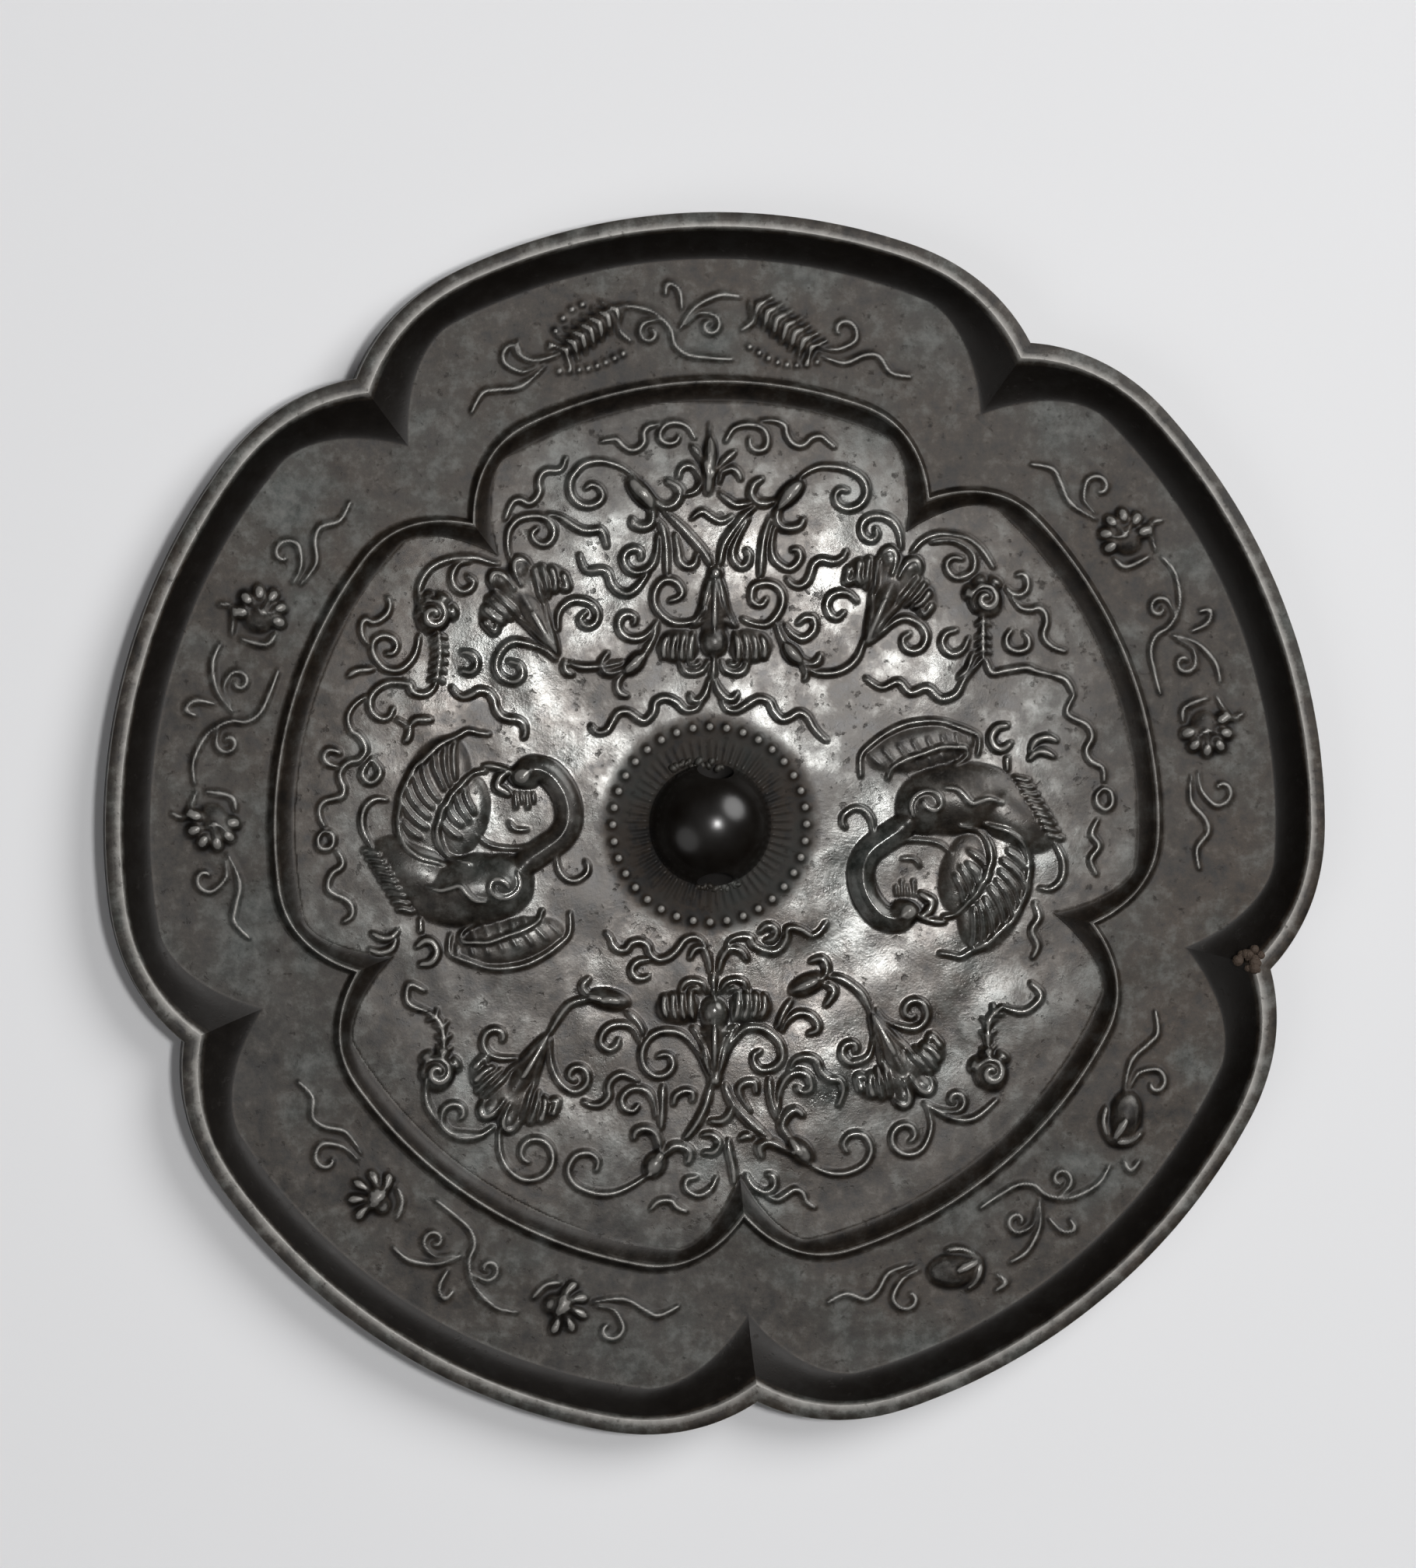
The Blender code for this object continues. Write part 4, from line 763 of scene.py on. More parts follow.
def phoenix_body(stroke, mass):
    """Breast, back, looped neck, crested head and legs."""
    mass(-40.7, -10.2, 20.5, 11.6, 4, 2.0, 0.9)
    mass(-49.0, -7.6, 18.0, 9.6, -33, 1.3, 0.9)
    mass(-35.6, -9.0, 10.4, 9.0, 20, 1.9, 0.9)
    stroke(-32.5, 8.3, -30.9, 9.7, -28, 8.9, -25.8, 6.4, -24.7, 3.5, -24.7, 0.7, -26, -1.7, -28.3, -3.4,
           -31.2, -5.3, width=2.2, rise=1.0, ends=(0.7, 1.15), power=1.1)
    stroke(-31.9, 9, -30.5, 9.4, -28, 8.6, -26, 6.2, -25, 3.5, -25, 0.7, -26.2, -1.6, -28.4, -3.3, -31, -5,
           width=0.5, rise=1.22)
    mass(-32.0, 8.1, 5.0, 3.2, -15, 0.9, 0.8)
    mass(-32.3, 8.0, 1.1, 1.1, 0, 1.4, 0.5)
    stroke(-38.5, 10, -36.9, 9.9, -35, 9.4, -34, 8.9, width=0.42, rise=0.8)
    stroke(-34.2, 9.1, -35.7, 8.3, -36.3, 6.7, -35.5, 6.1, -34.4, 5.4, width=0.75, rise=0.8)
    for feather in range(4):
        x = -33.4 + 0.95 * feather
        stroke(x, 5.6, x + 0.2, 3.2 + 0.9 * (feather % 2), width=0.46, rise=0.45)
    stroke(-39.5, -1.2, -37.6, -2.8, -34.4, -3.4, -31.2, -3.1, -28.7, -1.5, width=0.35, rise=0.4)
    stroke(-34.4, 1, -33.4, -0.3, -31.2, -0.4, width=0.35, rise=0.4)
    stroke(-33.1, -7.2, -32.6, -9.1, -33.4, -10.7, -35, -11.5, -36.6, -11.2, -37.5, -10.1, -37.4, -8.8,
           -36.3, -8.3, -35, -9, -34.5, -9.8, width=0.55, rise=0.5)
    stroke(-47.7, -9.4, -45.8, -10.1, -44.2, -9.8, -42.6, -9.4, -41.4, -10.7, -40.1, -11.8, -38.2, -12,
           width=0.55, rise=0.5)
    stroke(-48.8, -14.8, -48.7, -16.7, width=0.6, rise=0.8)
    stroke(-49.3, -19.2, -48.1, -18.3, -46.8, -18.6, -46.1, -20.2, -47.1, -21.8, -48.7, -22.1, width=0.7,
           rise=0.9)
    stroke(-56.6, -17, -55, -17.8, -53.5, -17.7, -52.5, -16.7, width=0.6, rise=0.8)
    stroke(-57, -19.6, -55.4, -20.2, -53.5, -19.6, -52.7, -18, width=0.6, rise=0.8)
    stroke(-26.4, -3.1, -26.6, -5.3, -26.1, -7.2, -24.8, -8.5, -23.2, -8.6, -21.7, -7.5, -21.5, -6.3,
           -22, -5.5, width=0.45)


def phoenix_wing(stroke, mass):
    """The raised wing: long quills behind a shorter row of coverts."""
    mass(-46.6, 4.6, 11.0, 21.0, -16, 0.6, 0.5)
    mass(-42.2, 1.8, 8.4, 14.0, -18, 0.6, 0.5)
    stroke(-44.9, -6, -46.5, -5.5, -49, -4.7, -51.1, -3.1, -52.2, -0.9, -52.5, 1.3, -52.2, 3.2, -51.9, 5.4,
           -50.8, 7.7, -49.6, 9.9, -48.2, 11, -46.8, 12.4, -45.2, 13.7, -42.6, 14.9, -41.1, 15.7,
           -39.5, 15.4, -37.6, 15.1, width=0.6, rise=0.5)
    for quill in ((-42.8, 14.6, -43.4, 12.4, -43.3, 9.2, -43.1, 7.7),
                  (-44.7, 13.7, -44.9, 11.1, -44.6, 8.6, -43.9, 6.7),
                  (-46.6, 12.2, -46.5, 9.9, -45.7, 8.0, -44.9, 6.1),
                  (-48.4, 10.8, -48.2, 8.6, -47.1, 6.1, -45.7, 4.3),
                  (-49.8, 9.7, -49.6, 7.7, -48.4, 5.1, -46.8, 3.2),
                  (-50.9, 7.7, -50.4, 5.1, -49.0, 3.2, -47.4, 1.6),
                  (-51.9, 5.1, -51.2, 3.2, -49.6, 1.3, -47.7, -0.1),
                  (-52.0, 1.3, -50.6, -0.3, -48.7, -1.7)):
        stroke(*quill, width=0.46, rise=0.42)
    stroke(-40.7, -5.8, -42.6, -5.3, -44.7, -4.4, -45.8, -2.2, -46.1, -0.3, -45.6, 1.3, -45.2, 2.9,
           -44.2, 4.2, -43.6, 5.4, -42.3, 6.7, -41.4, 7.7, -40.1, 8.8, -38.2, 9.2, width=0.6, rise=0.55)
    for covert in ((-41.7, 7.0, -41.4, 4.8, -40.1, 2.3),
                   (-43.0, 6.1, -42.6, 3.9, -40.9, 0.9),
                   (-44.2, 4.5, -43.8, 2.3, -42.0, 0.4),
                   (-45.5, 1.3, -44.2, -0.3, -42.3, -1.7)):
        stroke(*covert, width=0.46, rise=0.45)


def phoenix_tail(stroke, mass):
    """The tail's barred root and its long plume below the body."""
    stroke(-54.1, 4.5, -56, 4.7, -57.6, 3.5, -58.2, 1.6, -57.9, -0.6, -56.6, -3.1, width=0.5, rise=0.6)
    for feather in range(9):
        x = -58.0 + 0.70 * feather
        y = -3.6 - 1.18 * feather
        stroke(x, y, x + 1.0, y - 0.15, x + 2.4, y - 0.55, width=0.55, rise=0.55, ends=(0.6, 0.8))
    mass(-34.5, -18.4, 18.5, 6.6, 12, 0.5, 0.6)
    stroke(-43.9, -17.3, -44.2, -19.2, -43.9, -20.5, -42.3, -21.3, -40.1, -22.1, -38.2, -22.7, -36, -22.9,
           -33.7, -22.7, -31.8, -22.3, -29.9, -21.5, -28, -20.4, -26.4, -19.2, -24.8, -17.7, -24.4, -16.1,
           -24.5, -13.9, width=0.55, rise=0.5)
    stroke(-40.1, -15.8, -41.7, -16.6, -42.3, -17.7, -41.7, -18.5, -40.1, -18.6, -37.9, -18.6, -36, -18,
           -34.7, -17.5, -32.8, -16.9, -31.2, -16.2, -29.6, -15.1, -29, -13.5, width=0.55, rise=0.5)
    for tick in range(8):
        share = tick / 7.0
        x = -43.0 + 15.2 * share
        y = -19.0 + 2.0 * share * share + 1.4 * share
        stroke(x, y, x + 0.3 + 1.7 * share, y - 2.0, width=0.42, rise=0.3)
    for tick in range(5):
        x = -40.6 + 2.1 * tick
        stroke(x, -16.2 + 0.35 * tick, x + 0.6, -17.9 + 0.5 * tick, width=0.42, rise=0.3)


def knob_ring(relief):
    """Fine rays round the knob inside a ring of beads."""
    random = np.random.default_rng(SEED)

    def spot(angle, reach):
        return (RING_X + reach * math.cos(angle), RING_Y + reach * math.sin(angle))

    for bead in range(BEADS):
        relief.lens(*spot(2.0 * math.pi * bead / BEADS, BEAD_RING), 1.5, 1.5, 0, 0.8, 0.5)
    for ray in range(RAYS):
        angle = 2.0 * math.pi * (ray + 0.5) / RAYS
        outer = RAY_END + random.uniform(-0.4, 0.5)
        relief.vine(*spot(angle, RAY_START), *spot(angle, outer), width=0.40, rise=0.42, ends=(1.0, 0.5))


# Ornament of the border


def border_stem(relief):
    """The running stem that the border sprays share."""
    vine = relief.vine
    vine(-14, 3.4, -10.5, 4, -6, 2.4, -3.4, -0.6, -2.8, -3.4, -0.6, -5.2, 3.4, -5.8, 7, -6)
    vine(-3.4, -0.8, -4.6, 0.8, -6.4, 0.9, scroll=(-6.8, -1.0, 1.0))
    vine(-1.9, -1, 0.8, 2.4, 4.8, 4.4, 8, 4.2)
    vine(-0.8, -0.4, 1.4, 1.5, 3.2, 1.4, scroll=(3.2, -0.5, -1.0))
    vine(-1.2, 2.2, -1.4, 5.4, -3, 6.6, -3.6, 4.8)
    vine(-26, -1.6, -28.8, -1.6, -30.8, 0.6, scroll=(-28.8, 1.6, -0.7))
    vine(-25, -2, -30, -3.6, -34, -2.4, -36.4, -1.8, -39.6, -3.6)
    vine(21.6, -2.2, 24.6, -2, 27.2, 0, scroll=(25.0, 1.2, 0.7))
    vine(22, -3.4, 26.4, -3.8, 29.4, -1.6, 31.8, -1, 34.6, -2.8, 38, -2.2)


def peony(relief, x, side):
    """A many-petalled bloom with a leaf on either side."""
    relief.lens(x, -0.2, 6.4, 5.0, -25.0 * side, 1.3)
    for petal in range(6):
        swing = math.radians(-90.0 + 40.0 * petal)
        relief.lens(x + side * 3.1 * math.cos(swing), 0.2 + 3.0 * math.sin(swing), 3.0, 2.2,
                    math.degrees(swing) if side > 0 else 180.0 - math.degrees(swing), 1.6)
    for petal in range(3):
        swing = math.radians(-60.0 + 60.0 * petal)
        relief.vine(x, 0.0, x + side * 2.0 * math.cos(swing), 2.0 * math.sin(swing), width=0.6, rise=0.5)
    relief.vine(x - 5.0 * side, 1.6, x - 4.4 * side, -2.6, x - 2.0 * side, -3.4, width=0.7)
    relief.vine(x - 5.0 * side, 3.0, x - 1.0 * side, 4.6, x - 1.4 * side, 6.8, width=0.6)


def pod(relief, x, side):
    """A ripe seed pod standing out of its calyx."""
    relief.lens(x + 1.6 * side, 0.6, 9.0, 5.4, -24.0 * side, 1.9)
    for leaf in range(3):
        relief.vine(x - 3.2 * side, 1.0, x - 1.4 * side, 3.4 - 2.6 * leaf, x + 1.0 * side, 4.2 - 3.6 * leaf,
                    width=0.8, rise=0.9)
    relief.vine(x - 4.0 * side, 4.6, x - 4.6 * side, 6.6, x - 2.6 * side, 6.8, width=0.7)


def lotus(relief, x, side):
    """An open bloom seen from the side, with fanned petals."""
    for petal in range(5):
        swing = math.radians(-80.0 + 40.0 * petal)
        relief.vine(x, 0.0, x + side * 2.6 * math.cos(swing), 2.8 * math.sin(swing),
                    x + side * 4.6 * math.cos(swing + 0.12), 4.4 * math.sin(swing + 0.12),
                    width=1.0, rise=1.2, ends=(0.6, 0.4))
    relief.lens(x - 0.4 * side, 0.0, 4.6, 3.4, -20.0 * side, 1.5)
    relief.vine(x - 4.6 * side, 0.4, x - 3.4 * side, -2.4, x - 1.0 * side, -3.6, width=0.7)


def ferns(relief):
    """Two long fern-like blooms with rows of beads, on the top lobe."""
    for x, y, length, heading, side in ((-16.2, 1.4, 11.6, 24.0, -1.0), (15.6, 0.2, 12.4, -30.0, 1.0)):
        relief.lens(x, y, length, 4.0, heading, 1.1)
        ahead = math.radians(heading)
        for leaf in range(7):
            share = (leaf / 6.0 - 0.5) * length * 0.9
            root_x, root_y = x + share * math.cos(ahead), y + share * math.sin(ahead)
            for flank in (-1.0, 1.0):
                tip_x = root_x + side * 1.2 * math.cos(ahead) - flank * 2.6 * math.sin(ahead)
                tip_y = root_y + side * 1.2 * math.sin(ahead) + flank * 2.6 * math.cos(ahead)
                relief.vine(root_x, root_y, tip_x, tip_y, width=0.62, rise=0.8, ends=(0.9, 0.5))
    for bead in range(8):
        relief.lens(-11.8 - 1.6 * bead, -3.6 - 1.0 * math.sin(math.pi * bead / 7.0), 1.1, 1.1, 0, 0.7, 0.5)
        relief.lens(10.0 + 1.7 * bead, -3.8 - 2.2 * math.sin(math.pi * bead / 8.0), 1.1, 1.1, 0, 0.7, 0.5)
    for bead in range(5):
        relief.lens(-16.4 - 1.7 * bead, 5.6 - 0.32 * bead * bead, 1.1, 1.1, 0, 0.7, 0.5)
    relief.vine(-22, -1, -26.4, -0.6, -28.5, 1.8, -27.6, 3.2, width=0.7)
    relief.vine(-10.3, 4, -11.8, 0.8, -10, -1.9, width=0.7)
    relief.vine(9.5, 3.6, 10.3, 0.6, 8.4, -1.2, width=0.7)


def border_sprays(relief):
    """The blooms of each border lobe on their shared stem."""
    blooms = (peony, None, peony, lotus, pod)
    for lobe, bloom in enumerate(blooms):
        relief.place = on_border(lobe)
        border_stem(relief)
        if bloom is None:
            ferns(relief)
        else:
            bloom(relief, -20.0, -1.0)
            bloom(relief, 14.8, 1.0)
    relief.place = on_field


class Casting:
    """The finished height of the back over any place, and how deep the place lies in its hollow."""

    def __init__(self, sizes):
        self.profile = Profile(sizes)
        relief = Relief()
        for part in (upper_sprays, upper_left_sprays, upper_right_sprays, left_sprays, right_sprays,
                     lower_sprays, knob_sprays, knob_ring, border_sprays):
            part(relief)
        for turned in (False, True):
            phoenix(relief, turned)
        self.reach = relief.reach
        self.relief = relief.finished()
        around = softened(self.relief, HOLLOW_REACH)
        self.hollow = np.clip((around - self.relief) * HOLLOW_GAIN, CREST_LIMIT, HOLLOW_LIMIT)

    def height(self, x, y):
        """Height of the back with its relief and the waves of its ground."""
        random = np.random.default_rng(SEED)
        plain = self.profile.height(x, y)
        return plain + sampled(self.relief, x, y, self.reach) + unevenness(x, y, random)

    def depth(self, x, y):
        """How far a place lies below its surroundings."""
        return sampled(self.hollow, x, y, self.reach)


casting_store = {}


def casting(sizes):
    """The casting, worked out once for all its pieces."""
    if "casting" not in casting_store:
        casting_store["casting"] = Casting(sizes)
    return casting_store["casting"]


# Materials


class Socket:
    """A shader socket that takes part in sums."""

    def __init__(self, tree, output):
        self.tree = tree
        self.output = output

    def math(self, operation, *values):
        """A Math node on the values."""
        return node(self.tree, "ShaderNodeMath", {"operation": operation}, *values)

    def __add__(self, other):
        return self.math("ADD", self, other)

    __radd__ = __add__

    def __sub__(self, other):
        return self.math("SUBTRACT", self, other)

    def __rsub__(self, other):
        return self.math("SUBTRACT", other, self)

    def __mul__(self, other):
        return self.math("MULTIPLY", self, other)

    __rmul__ = __mul__

    def spread(self, low, high):
        """The value's place between low and high, from 0 to 1."""
        return node(self.tree, "ShaderNodeMapRange", {"clamp": True}, self, low, high, 0.0, 1.0)


def node(tree, kind, settings, *values, output=0):
    """A new node with its settings made first, and its sockets given values or links in order."""
    made = tree.nodes.new(kind)
    for name, value in settings.items():
        setattr(made, name, value)
    for socket, value in zip(made.inputs, values):
        if isinstance(value, Socket):
            tree.links.new(value.output, socket)
        elif value is not None:
            socket.default_value = value
    return Socket(tree, made.outputs[output])


def mixed(tree, share, first, second):
    """One colour laid over another by a share."""
    made = tree.nodes.new("ShaderNodeMix")
    made.data_type = "RGBA"
    for name, value in (("Factor", share), ("A", first), ("B", second)):
        socket = [s for s in made.inputs if s.name == name and s.enabled][0]
        if isinstance(value, Socket):
            tree.links.new(value.output, socket)
        else:
            socket.default_value = value
    return Socket(tree, [s for s in made.outputs if s.enabled][0])


def noise(tree, place, scale, detail, rough=0.55):
    """Cloudy noise from 0 to 1, finer as its scale grows."""
    return node(tree, "ShaderNodeTexNoise", {}, place, None, scale, detail, rough)


def bronze_material(finish, name, polished=False):
    """Old dark bronze: brown patina in the hollows, faint green bloom, bare-metal grey on the crests that is
    part wear and part painted highlight, and painted shade that darkens hollows and coves to near black.
    """
    material = bpy.data.materials.new(name)
    material.use_nodes = True
    tree = material.node_tree
    shader = tree.nodes["Principled BSDF"]
    place = node(tree, "ShaderNodeTexCoord", {}, output=3)
    hollow = node(tree, "ShaderNodeAttribute", {"attribute_name": "hollow"}, output=2)
    rubbed_and_highlight = node(tree, "ShaderNodeAttribute", {"attribute_name": "rubbed_and_highlight"}, output=2)
    worn = node(tree, "ShaderNodeAttribute", {"attribute_name": "worn"}, output=2)
    patina = node(tree, "ShaderNodeAttribute", {"attribute_name": "patina"}, output=2)
    cloud = noise(tree, place, 62.0, 7.0, 0.62)
    broad = noise(tree, place, 17.0, 4.0)
    fine = noise(tree, place, 330.0, 6.0, 0.68)
    speck = noise(tree, place, 620.0, 3.0, 0.6)
    grain = noise(tree, place, 2600.0, 2.0)
    brown_share = broad * 1.3 - 0.75 + hollow * 0.9 + cloud * 0.55 + fine * 0.45 + patina * 0.9
    colour = mixed(tree, brown_share.spread(0.05, 0.80), (*finish.bronze, 1.0), (*finish.brown, 1.0))
    green_share = (cloud * 1.5 + fine * 0.6 - 1.0).spread(0.0, 0.3) * 0.80
    colour = mixed(tree, green_share, colour, (*finish.green, 1.0))
    grime = ((0.5 - fine) * 4.0 + (0.5 - cloud) * 2.2).spread(0.0, 0.75) * 0.9 + patina * 0.50
    colour = mixed(tree, grime, colour, (*finish.deep, 1.0))
    bright = ((fine - 0.5) * 3.6 + (cloud - 0.5) * 2.0).spread(0.0, 0.8) * 0.24 * (1.0 - patina)
    colour = mixed(tree, bright, colour, (*finish.bare_metal_and_highlight, 1.0))
    # Painted highlight: narrow relief crests, the ridge crest and the rim's edges are mixed toward the
    # bare-metal grey, part worn metal and part painted highlight.
    crest = (rubbed_and_highlight - hollow + fine * 0.3 - 0.47).spread(0.0, 0.30)
    colour = mixed(tree, crest * 0.80, colour, (*finish.bare_metal_and_highlight, 1.0))
    # Painted shade: hollows, the ridge's inner slope and the coves are darkened toward near black.
    shade = (hollow - 0.06).spread(0.0, 0.42)
    colour = mixed(tree, shade * 0.95, colour, (*finish.deep, 1.0))
    pits = (speck - 0.62).spread(0.0, 0.12)
    colour = mixed(tree, pits * 0.5, colour, (*finish.pit, 1.0))
    tree.links.new(colour.output, shader.inputs["Base Color"])
    patches = (cloud + (broad - 0.5) * 0.6 + (fine - 0.5) * 0.5).spread(0.42, 0.62)
    smooth = worn * (1.0 - patina)
    rough = 0.50 - smooth * 0.16 - smooth * patches * 0.15 + (fine - 0.5) * 0.22
    rough = rough + patina * 0.16 - crest * 0.12 + pits * 0.15
    if polished:
        rough = rough - 0.12
    tree.links.new(rough.output, shader.inputs["Roughness"])
    shader.inputs["Metallic"].default_value = 0.30
    shader.inputs["Specular IOR Level"].default_value = 0.42
    bump = node(tree, "ShaderNodeBump", {}, 0.6, 0.00006, None)
    bump_node = bump.output.node
    height = speck * 0.55 + grain * 0.25 + fine * 0.9 + cloud * 0.6 - pits * 0.8
    tree.links.new(height.output, bump_node.inputs["Height"])
    tree.links.new(bump.output, shader.inputs["Normal"])
    return material


def knob_material(finish):
    """The knob's near-black finish: the bronze dimmed to four tenths, clouded toward the deep colour."""
    material = bpy.data.materials.new("dark_bronze_knob")
    material.use_nodes = True
    tree = material.node_tree
    shader = tree.nodes["Principled BSDF"]
    place = node(tree, "ShaderNodeTexCoord", {}, output=3)
    cloud = noise(tree, place, 160.0, 4.0)
    grain = noise(tree, place, 1400.0, 3.0)
    dimmed = [0.4 * value for value in finish.bronze]
    colour = mixed(tree, cloud.spread(0.35, 0.75), (*finish.deep, 1.0), (*dimmed, 1.0))
    tree.links.new(colour.output, shader.inputs["Base Color"])
    rough = 0.24 + (cloud - 0.5) * 0.16
    tree.links.new(rough.output, shader.inputs["Roughness"])
    shader.inputs["Metallic"].default_value = 0.2
    shader.inputs["Specular IOR Level"].default_value = 0.5
    bump = node(tree, "ShaderNodeBump", {}, 0.5, 0.00004, None)
    tree.links.new((cloud * 0.8 + grain * 0.2).output, bump.output.node.inputs["Height"])
    tree.links.new(bump.output, shader.inputs["Normal"])
    return material


def plain_material(name, colour, roughness):
    """A dull finish of one colour with a faint cloudiness."""
    material = bpy.data.materials.new(name)
    material.use_nodes = True
    tree = material.node_tree
    shader = tree.nodes["Principled BSDF"]
    place = node(tree, "ShaderNodeTexCoord", {}, output=3)
    cloud = noise(tree, place, 3.0, 3.0)
    shade = mixed(tree, cloud, (*colour, 1.0), (*[0.975 * value for value in colour], 1.0))
    tree.links.new(shade.output, shader.inputs["Base Color"])
    shader.inputs["Roughness"].default_value = roughness
    return material


# Mesh pieces


def mesh_object(name, points, quads, values, material):
    """A smooth-shaded piece of the casting, with the values that its finish reads."""
    mesh = bpy.data.meshes.new(name)
    mesh.vertices.add(len(points))
    mesh.vertices.foreach_set("co", (points * MM).astype(np.float32).ravel())
    mesh.loops.add(4 * len(quads))
    mesh.loops.foreach_set("vertex_index", quads.astype(np.int32).ravel())
    mesh.polygons.add(len(quads))
    mesh.polygons.foreach_set("loop_start", np.arange(0, 4 * len(quads), 4, dtype=np.int32))
    mesh.polygons.foreach_set("use_smooth", np.ones(len(quads), dtype=bool))
    for label, numbers in values.items():
        attribute = mesh.attributes.new(label, "FLOAT", "POINT")
        attribute.data.foreach_set("value", numbers.astype(np.float32))
    mesh.update(calc_edges=True)
    mesh.validate()
    mesh.materials.append(material)
    thing = bpy.data.objects.new(name, mesh)
    bpy.context.scene.collection.objects.link(thing)
    return thing


def grid_quads(rows, columns):
    """Faces over a grid of points."""
    index = np.arange(rows * columns).reshape(rows, columns)
    return np.stack([index[:-1, :-1], index[:-1, 1:], index[1:, 1:], index[1:, :-1]], axis=-1).reshape(-1, 4)


def belongs(thing):
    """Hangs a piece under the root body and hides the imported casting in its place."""
    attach(thing, "root")
    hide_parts(NODE)


def shared_material(finish):
    """The bronze of the back, made once for all its pieces."""
    return bpy.data.materials.get("dark_bronze_back") or bronze_material(finish, "dark_bronze_back")


class MIRROR_OT_field(bpy.types.Operator):
    """Makes the inner field with its birds and sprays"""

    bl_idname = "mirror.field"
    bl_label = "Inner field"

    def execute(self, context):
        cast = casting(context.scene.mirror_sizes)
        material = shared_material(context.scene.mirror_finish)
        reach = cast.profile.ridge
        step = FIELD_STEP * 1.0
        columns = np.arange(-reach, reach + step, step)
        columns = columns - columns[np.argmin(np.abs(columns - FIELD_SPLIT_X))] + FIELD_SPLIT_X
        rows = np.arange(-reach, reach + step, step)
        x, y = np.meshgrid(columns, rows)
        inside = np.hypot(x, y) < cast.profile.ridge_foot(np.arctan2(y, x)) + 0.7
        for name, side in (("field_left", -1.0), ("field_right", 1.0)):
            keep = inside & (side * (x - FIELD_SPLIT_X) >= -1e-6)
            solid = keep[:-1, :-1] & keep[:-1, 1:] & keep[1:, 1:] & keep[1:, :-1]
            quads = grid_quads(*x.shape)[solid.ravel()]
            used, quads = np.unique(quads, return_inverse=True)
            quads = quads.reshape(-1, 4)
            px, py = x.ravel()[used], y.ravel()[used]
            pz = cast.height(px, py)
            pz = np.where(np.hypot(px, py) > cast.profile.ridge_foot(np.arctan2(py, px)),
                          np.minimum(pz, cast.profile.field_height - TUCKED_EDGE), pz)
            reach_out = np.hypot(px, py)
            from_knob = np.hypot(px - KNOB_X, py - KNOB_Y)
            values = {"hollow": cast.depth(px, py), "rubbed_and_highlight": np.zeros_like(px),
                      "worn": np.clip((WEAR_REACH - reach_out) / WEAR_FADE, LEAST_WEAR, 1.0),
                      "patina": np.clip((PATINA_REACH - from_knob) / PATINA_FADE, 0.0, 1.0)}
            belongs(mesh_object(name, np.stack([px, py, pz], axis=-1), quads, values, material))
        return {"FINISHED"}


class MIRROR_OT_border(bpy.types.Operator):
    """Makes the border, ridge, cove and rim, one piece to each lobe"""

    bl_idname = "mirror.border"
    bl_label = "Border and rim"

    def execute(self, context):
        cast = casting(context.scene.mirror_sizes)
        material = shared_material(context.scene.mirror_finish)
        shape = cast.profile
        steps = LOBE_STEPS // 1
        turn = 2.0 * math.pi / LOBES
        for lobe in range(LOBES):
            share = np.arange(steps + 1) / steps
            angle = FIRST_CUSP + turn * (lobe + share - LOBE_BUNCHING * np.sin(2.0 * math.pi * share))
            lines = [shape.ridge_foot(angle), shape.ridge_crest(angle), shape.ridge_out(angle),
                     shape.cove_foot(angle), shape.rim_in(angle)]
            counts = (FALL_ROWS, CREST_ROWS, BORDER_ROWS, COVE_ROWS)
            reaches = [lines[0] - 0.8]
            for inner, outer, count in zip(lines, lines[1:], counts):
                for step in range(count):
                    reaches.append(inner + (outer - inner) * step / count)
            reaches.append(lines[-1])
            reach = np.array(reaches)
            x = reach * np.cos(angle)
            y = reach * np.sin(angle)
            z = cast.height(x, y)
            z[0] -= 0.35
            outer = shape.rim_out(angle)
            width = outer - lines[-1]
            rows = [(x, y, z)]
            for share_out, drop in RIM_SECTION:
                out = lines[-1] + width * share_out
                rows.append((out * np.cos(angle), out * np.sin(angle), z[-1] + drop))
            for grow, height in FOOT_SECTION:
                out = outer + grow
                rows.append((out * np.cos(angle), out * np.sin(angle), np.full_like(out, height)))
            x = np.vstack([row[0] for row in rows])
            y = np.vstack([row[1] for row in rows])
            z = np.vstack([row[2] for row in rows])
            depth = cast.depth(x, y)
            # The ridge crest and the rim's edges get shares that the finish turns into bare-metal grey, part
            # wear and part painted highlight.
            rubbed_and_highlight = np.zeros_like(x)
            crest = 1 + FALL_ROWS
            rubbed_and_highlight[crest - 1:crest + 2] = CREST_RUB_AND_HIGHLIGHT
            rim = len(reaches) - 1
            rubbed_and_highlight[rim - 1:] = RIM_RUB_AND_HIGHLIGHT
            rubbed_and_highlight[rim:rim + 2] = EDGE_RUB_AND_HIGHLIGHT
            rubbed_and_highlight[rim + 4:rim + 6] = EDGE_RUB_AND_HIGHLIGHT
            # Painted shade: the ridge's inner slope and the cove get extra depth, which the finish darkens
            # toward near black.
            depth[2:crest - 2] += SLOPE_SHADE
            cove = 1 + FALL_ROWS + CREST_ROWS + BORDER_ROWS
            depth[cove + 1:rim - 1] += COVE_SHADE
            points = np.stack([x, y, z], axis=-1).reshape(-1, 3)
            quads = grid_quads(*x.shape)[:, ::-1]
            worn = np.zeros_like(x)
            worn[:crest + 1] = SLOPE_WEAR
            values = {"hollow": depth.ravel(), "rubbed_and_highlight": rubbed_and_highlight.ravel(), "worn": worn.ravel()}
            belongs(mesh_object("border_lobe_%d" % (lobe + 1), points, quads, values, material))
        return {"FINISHED"}


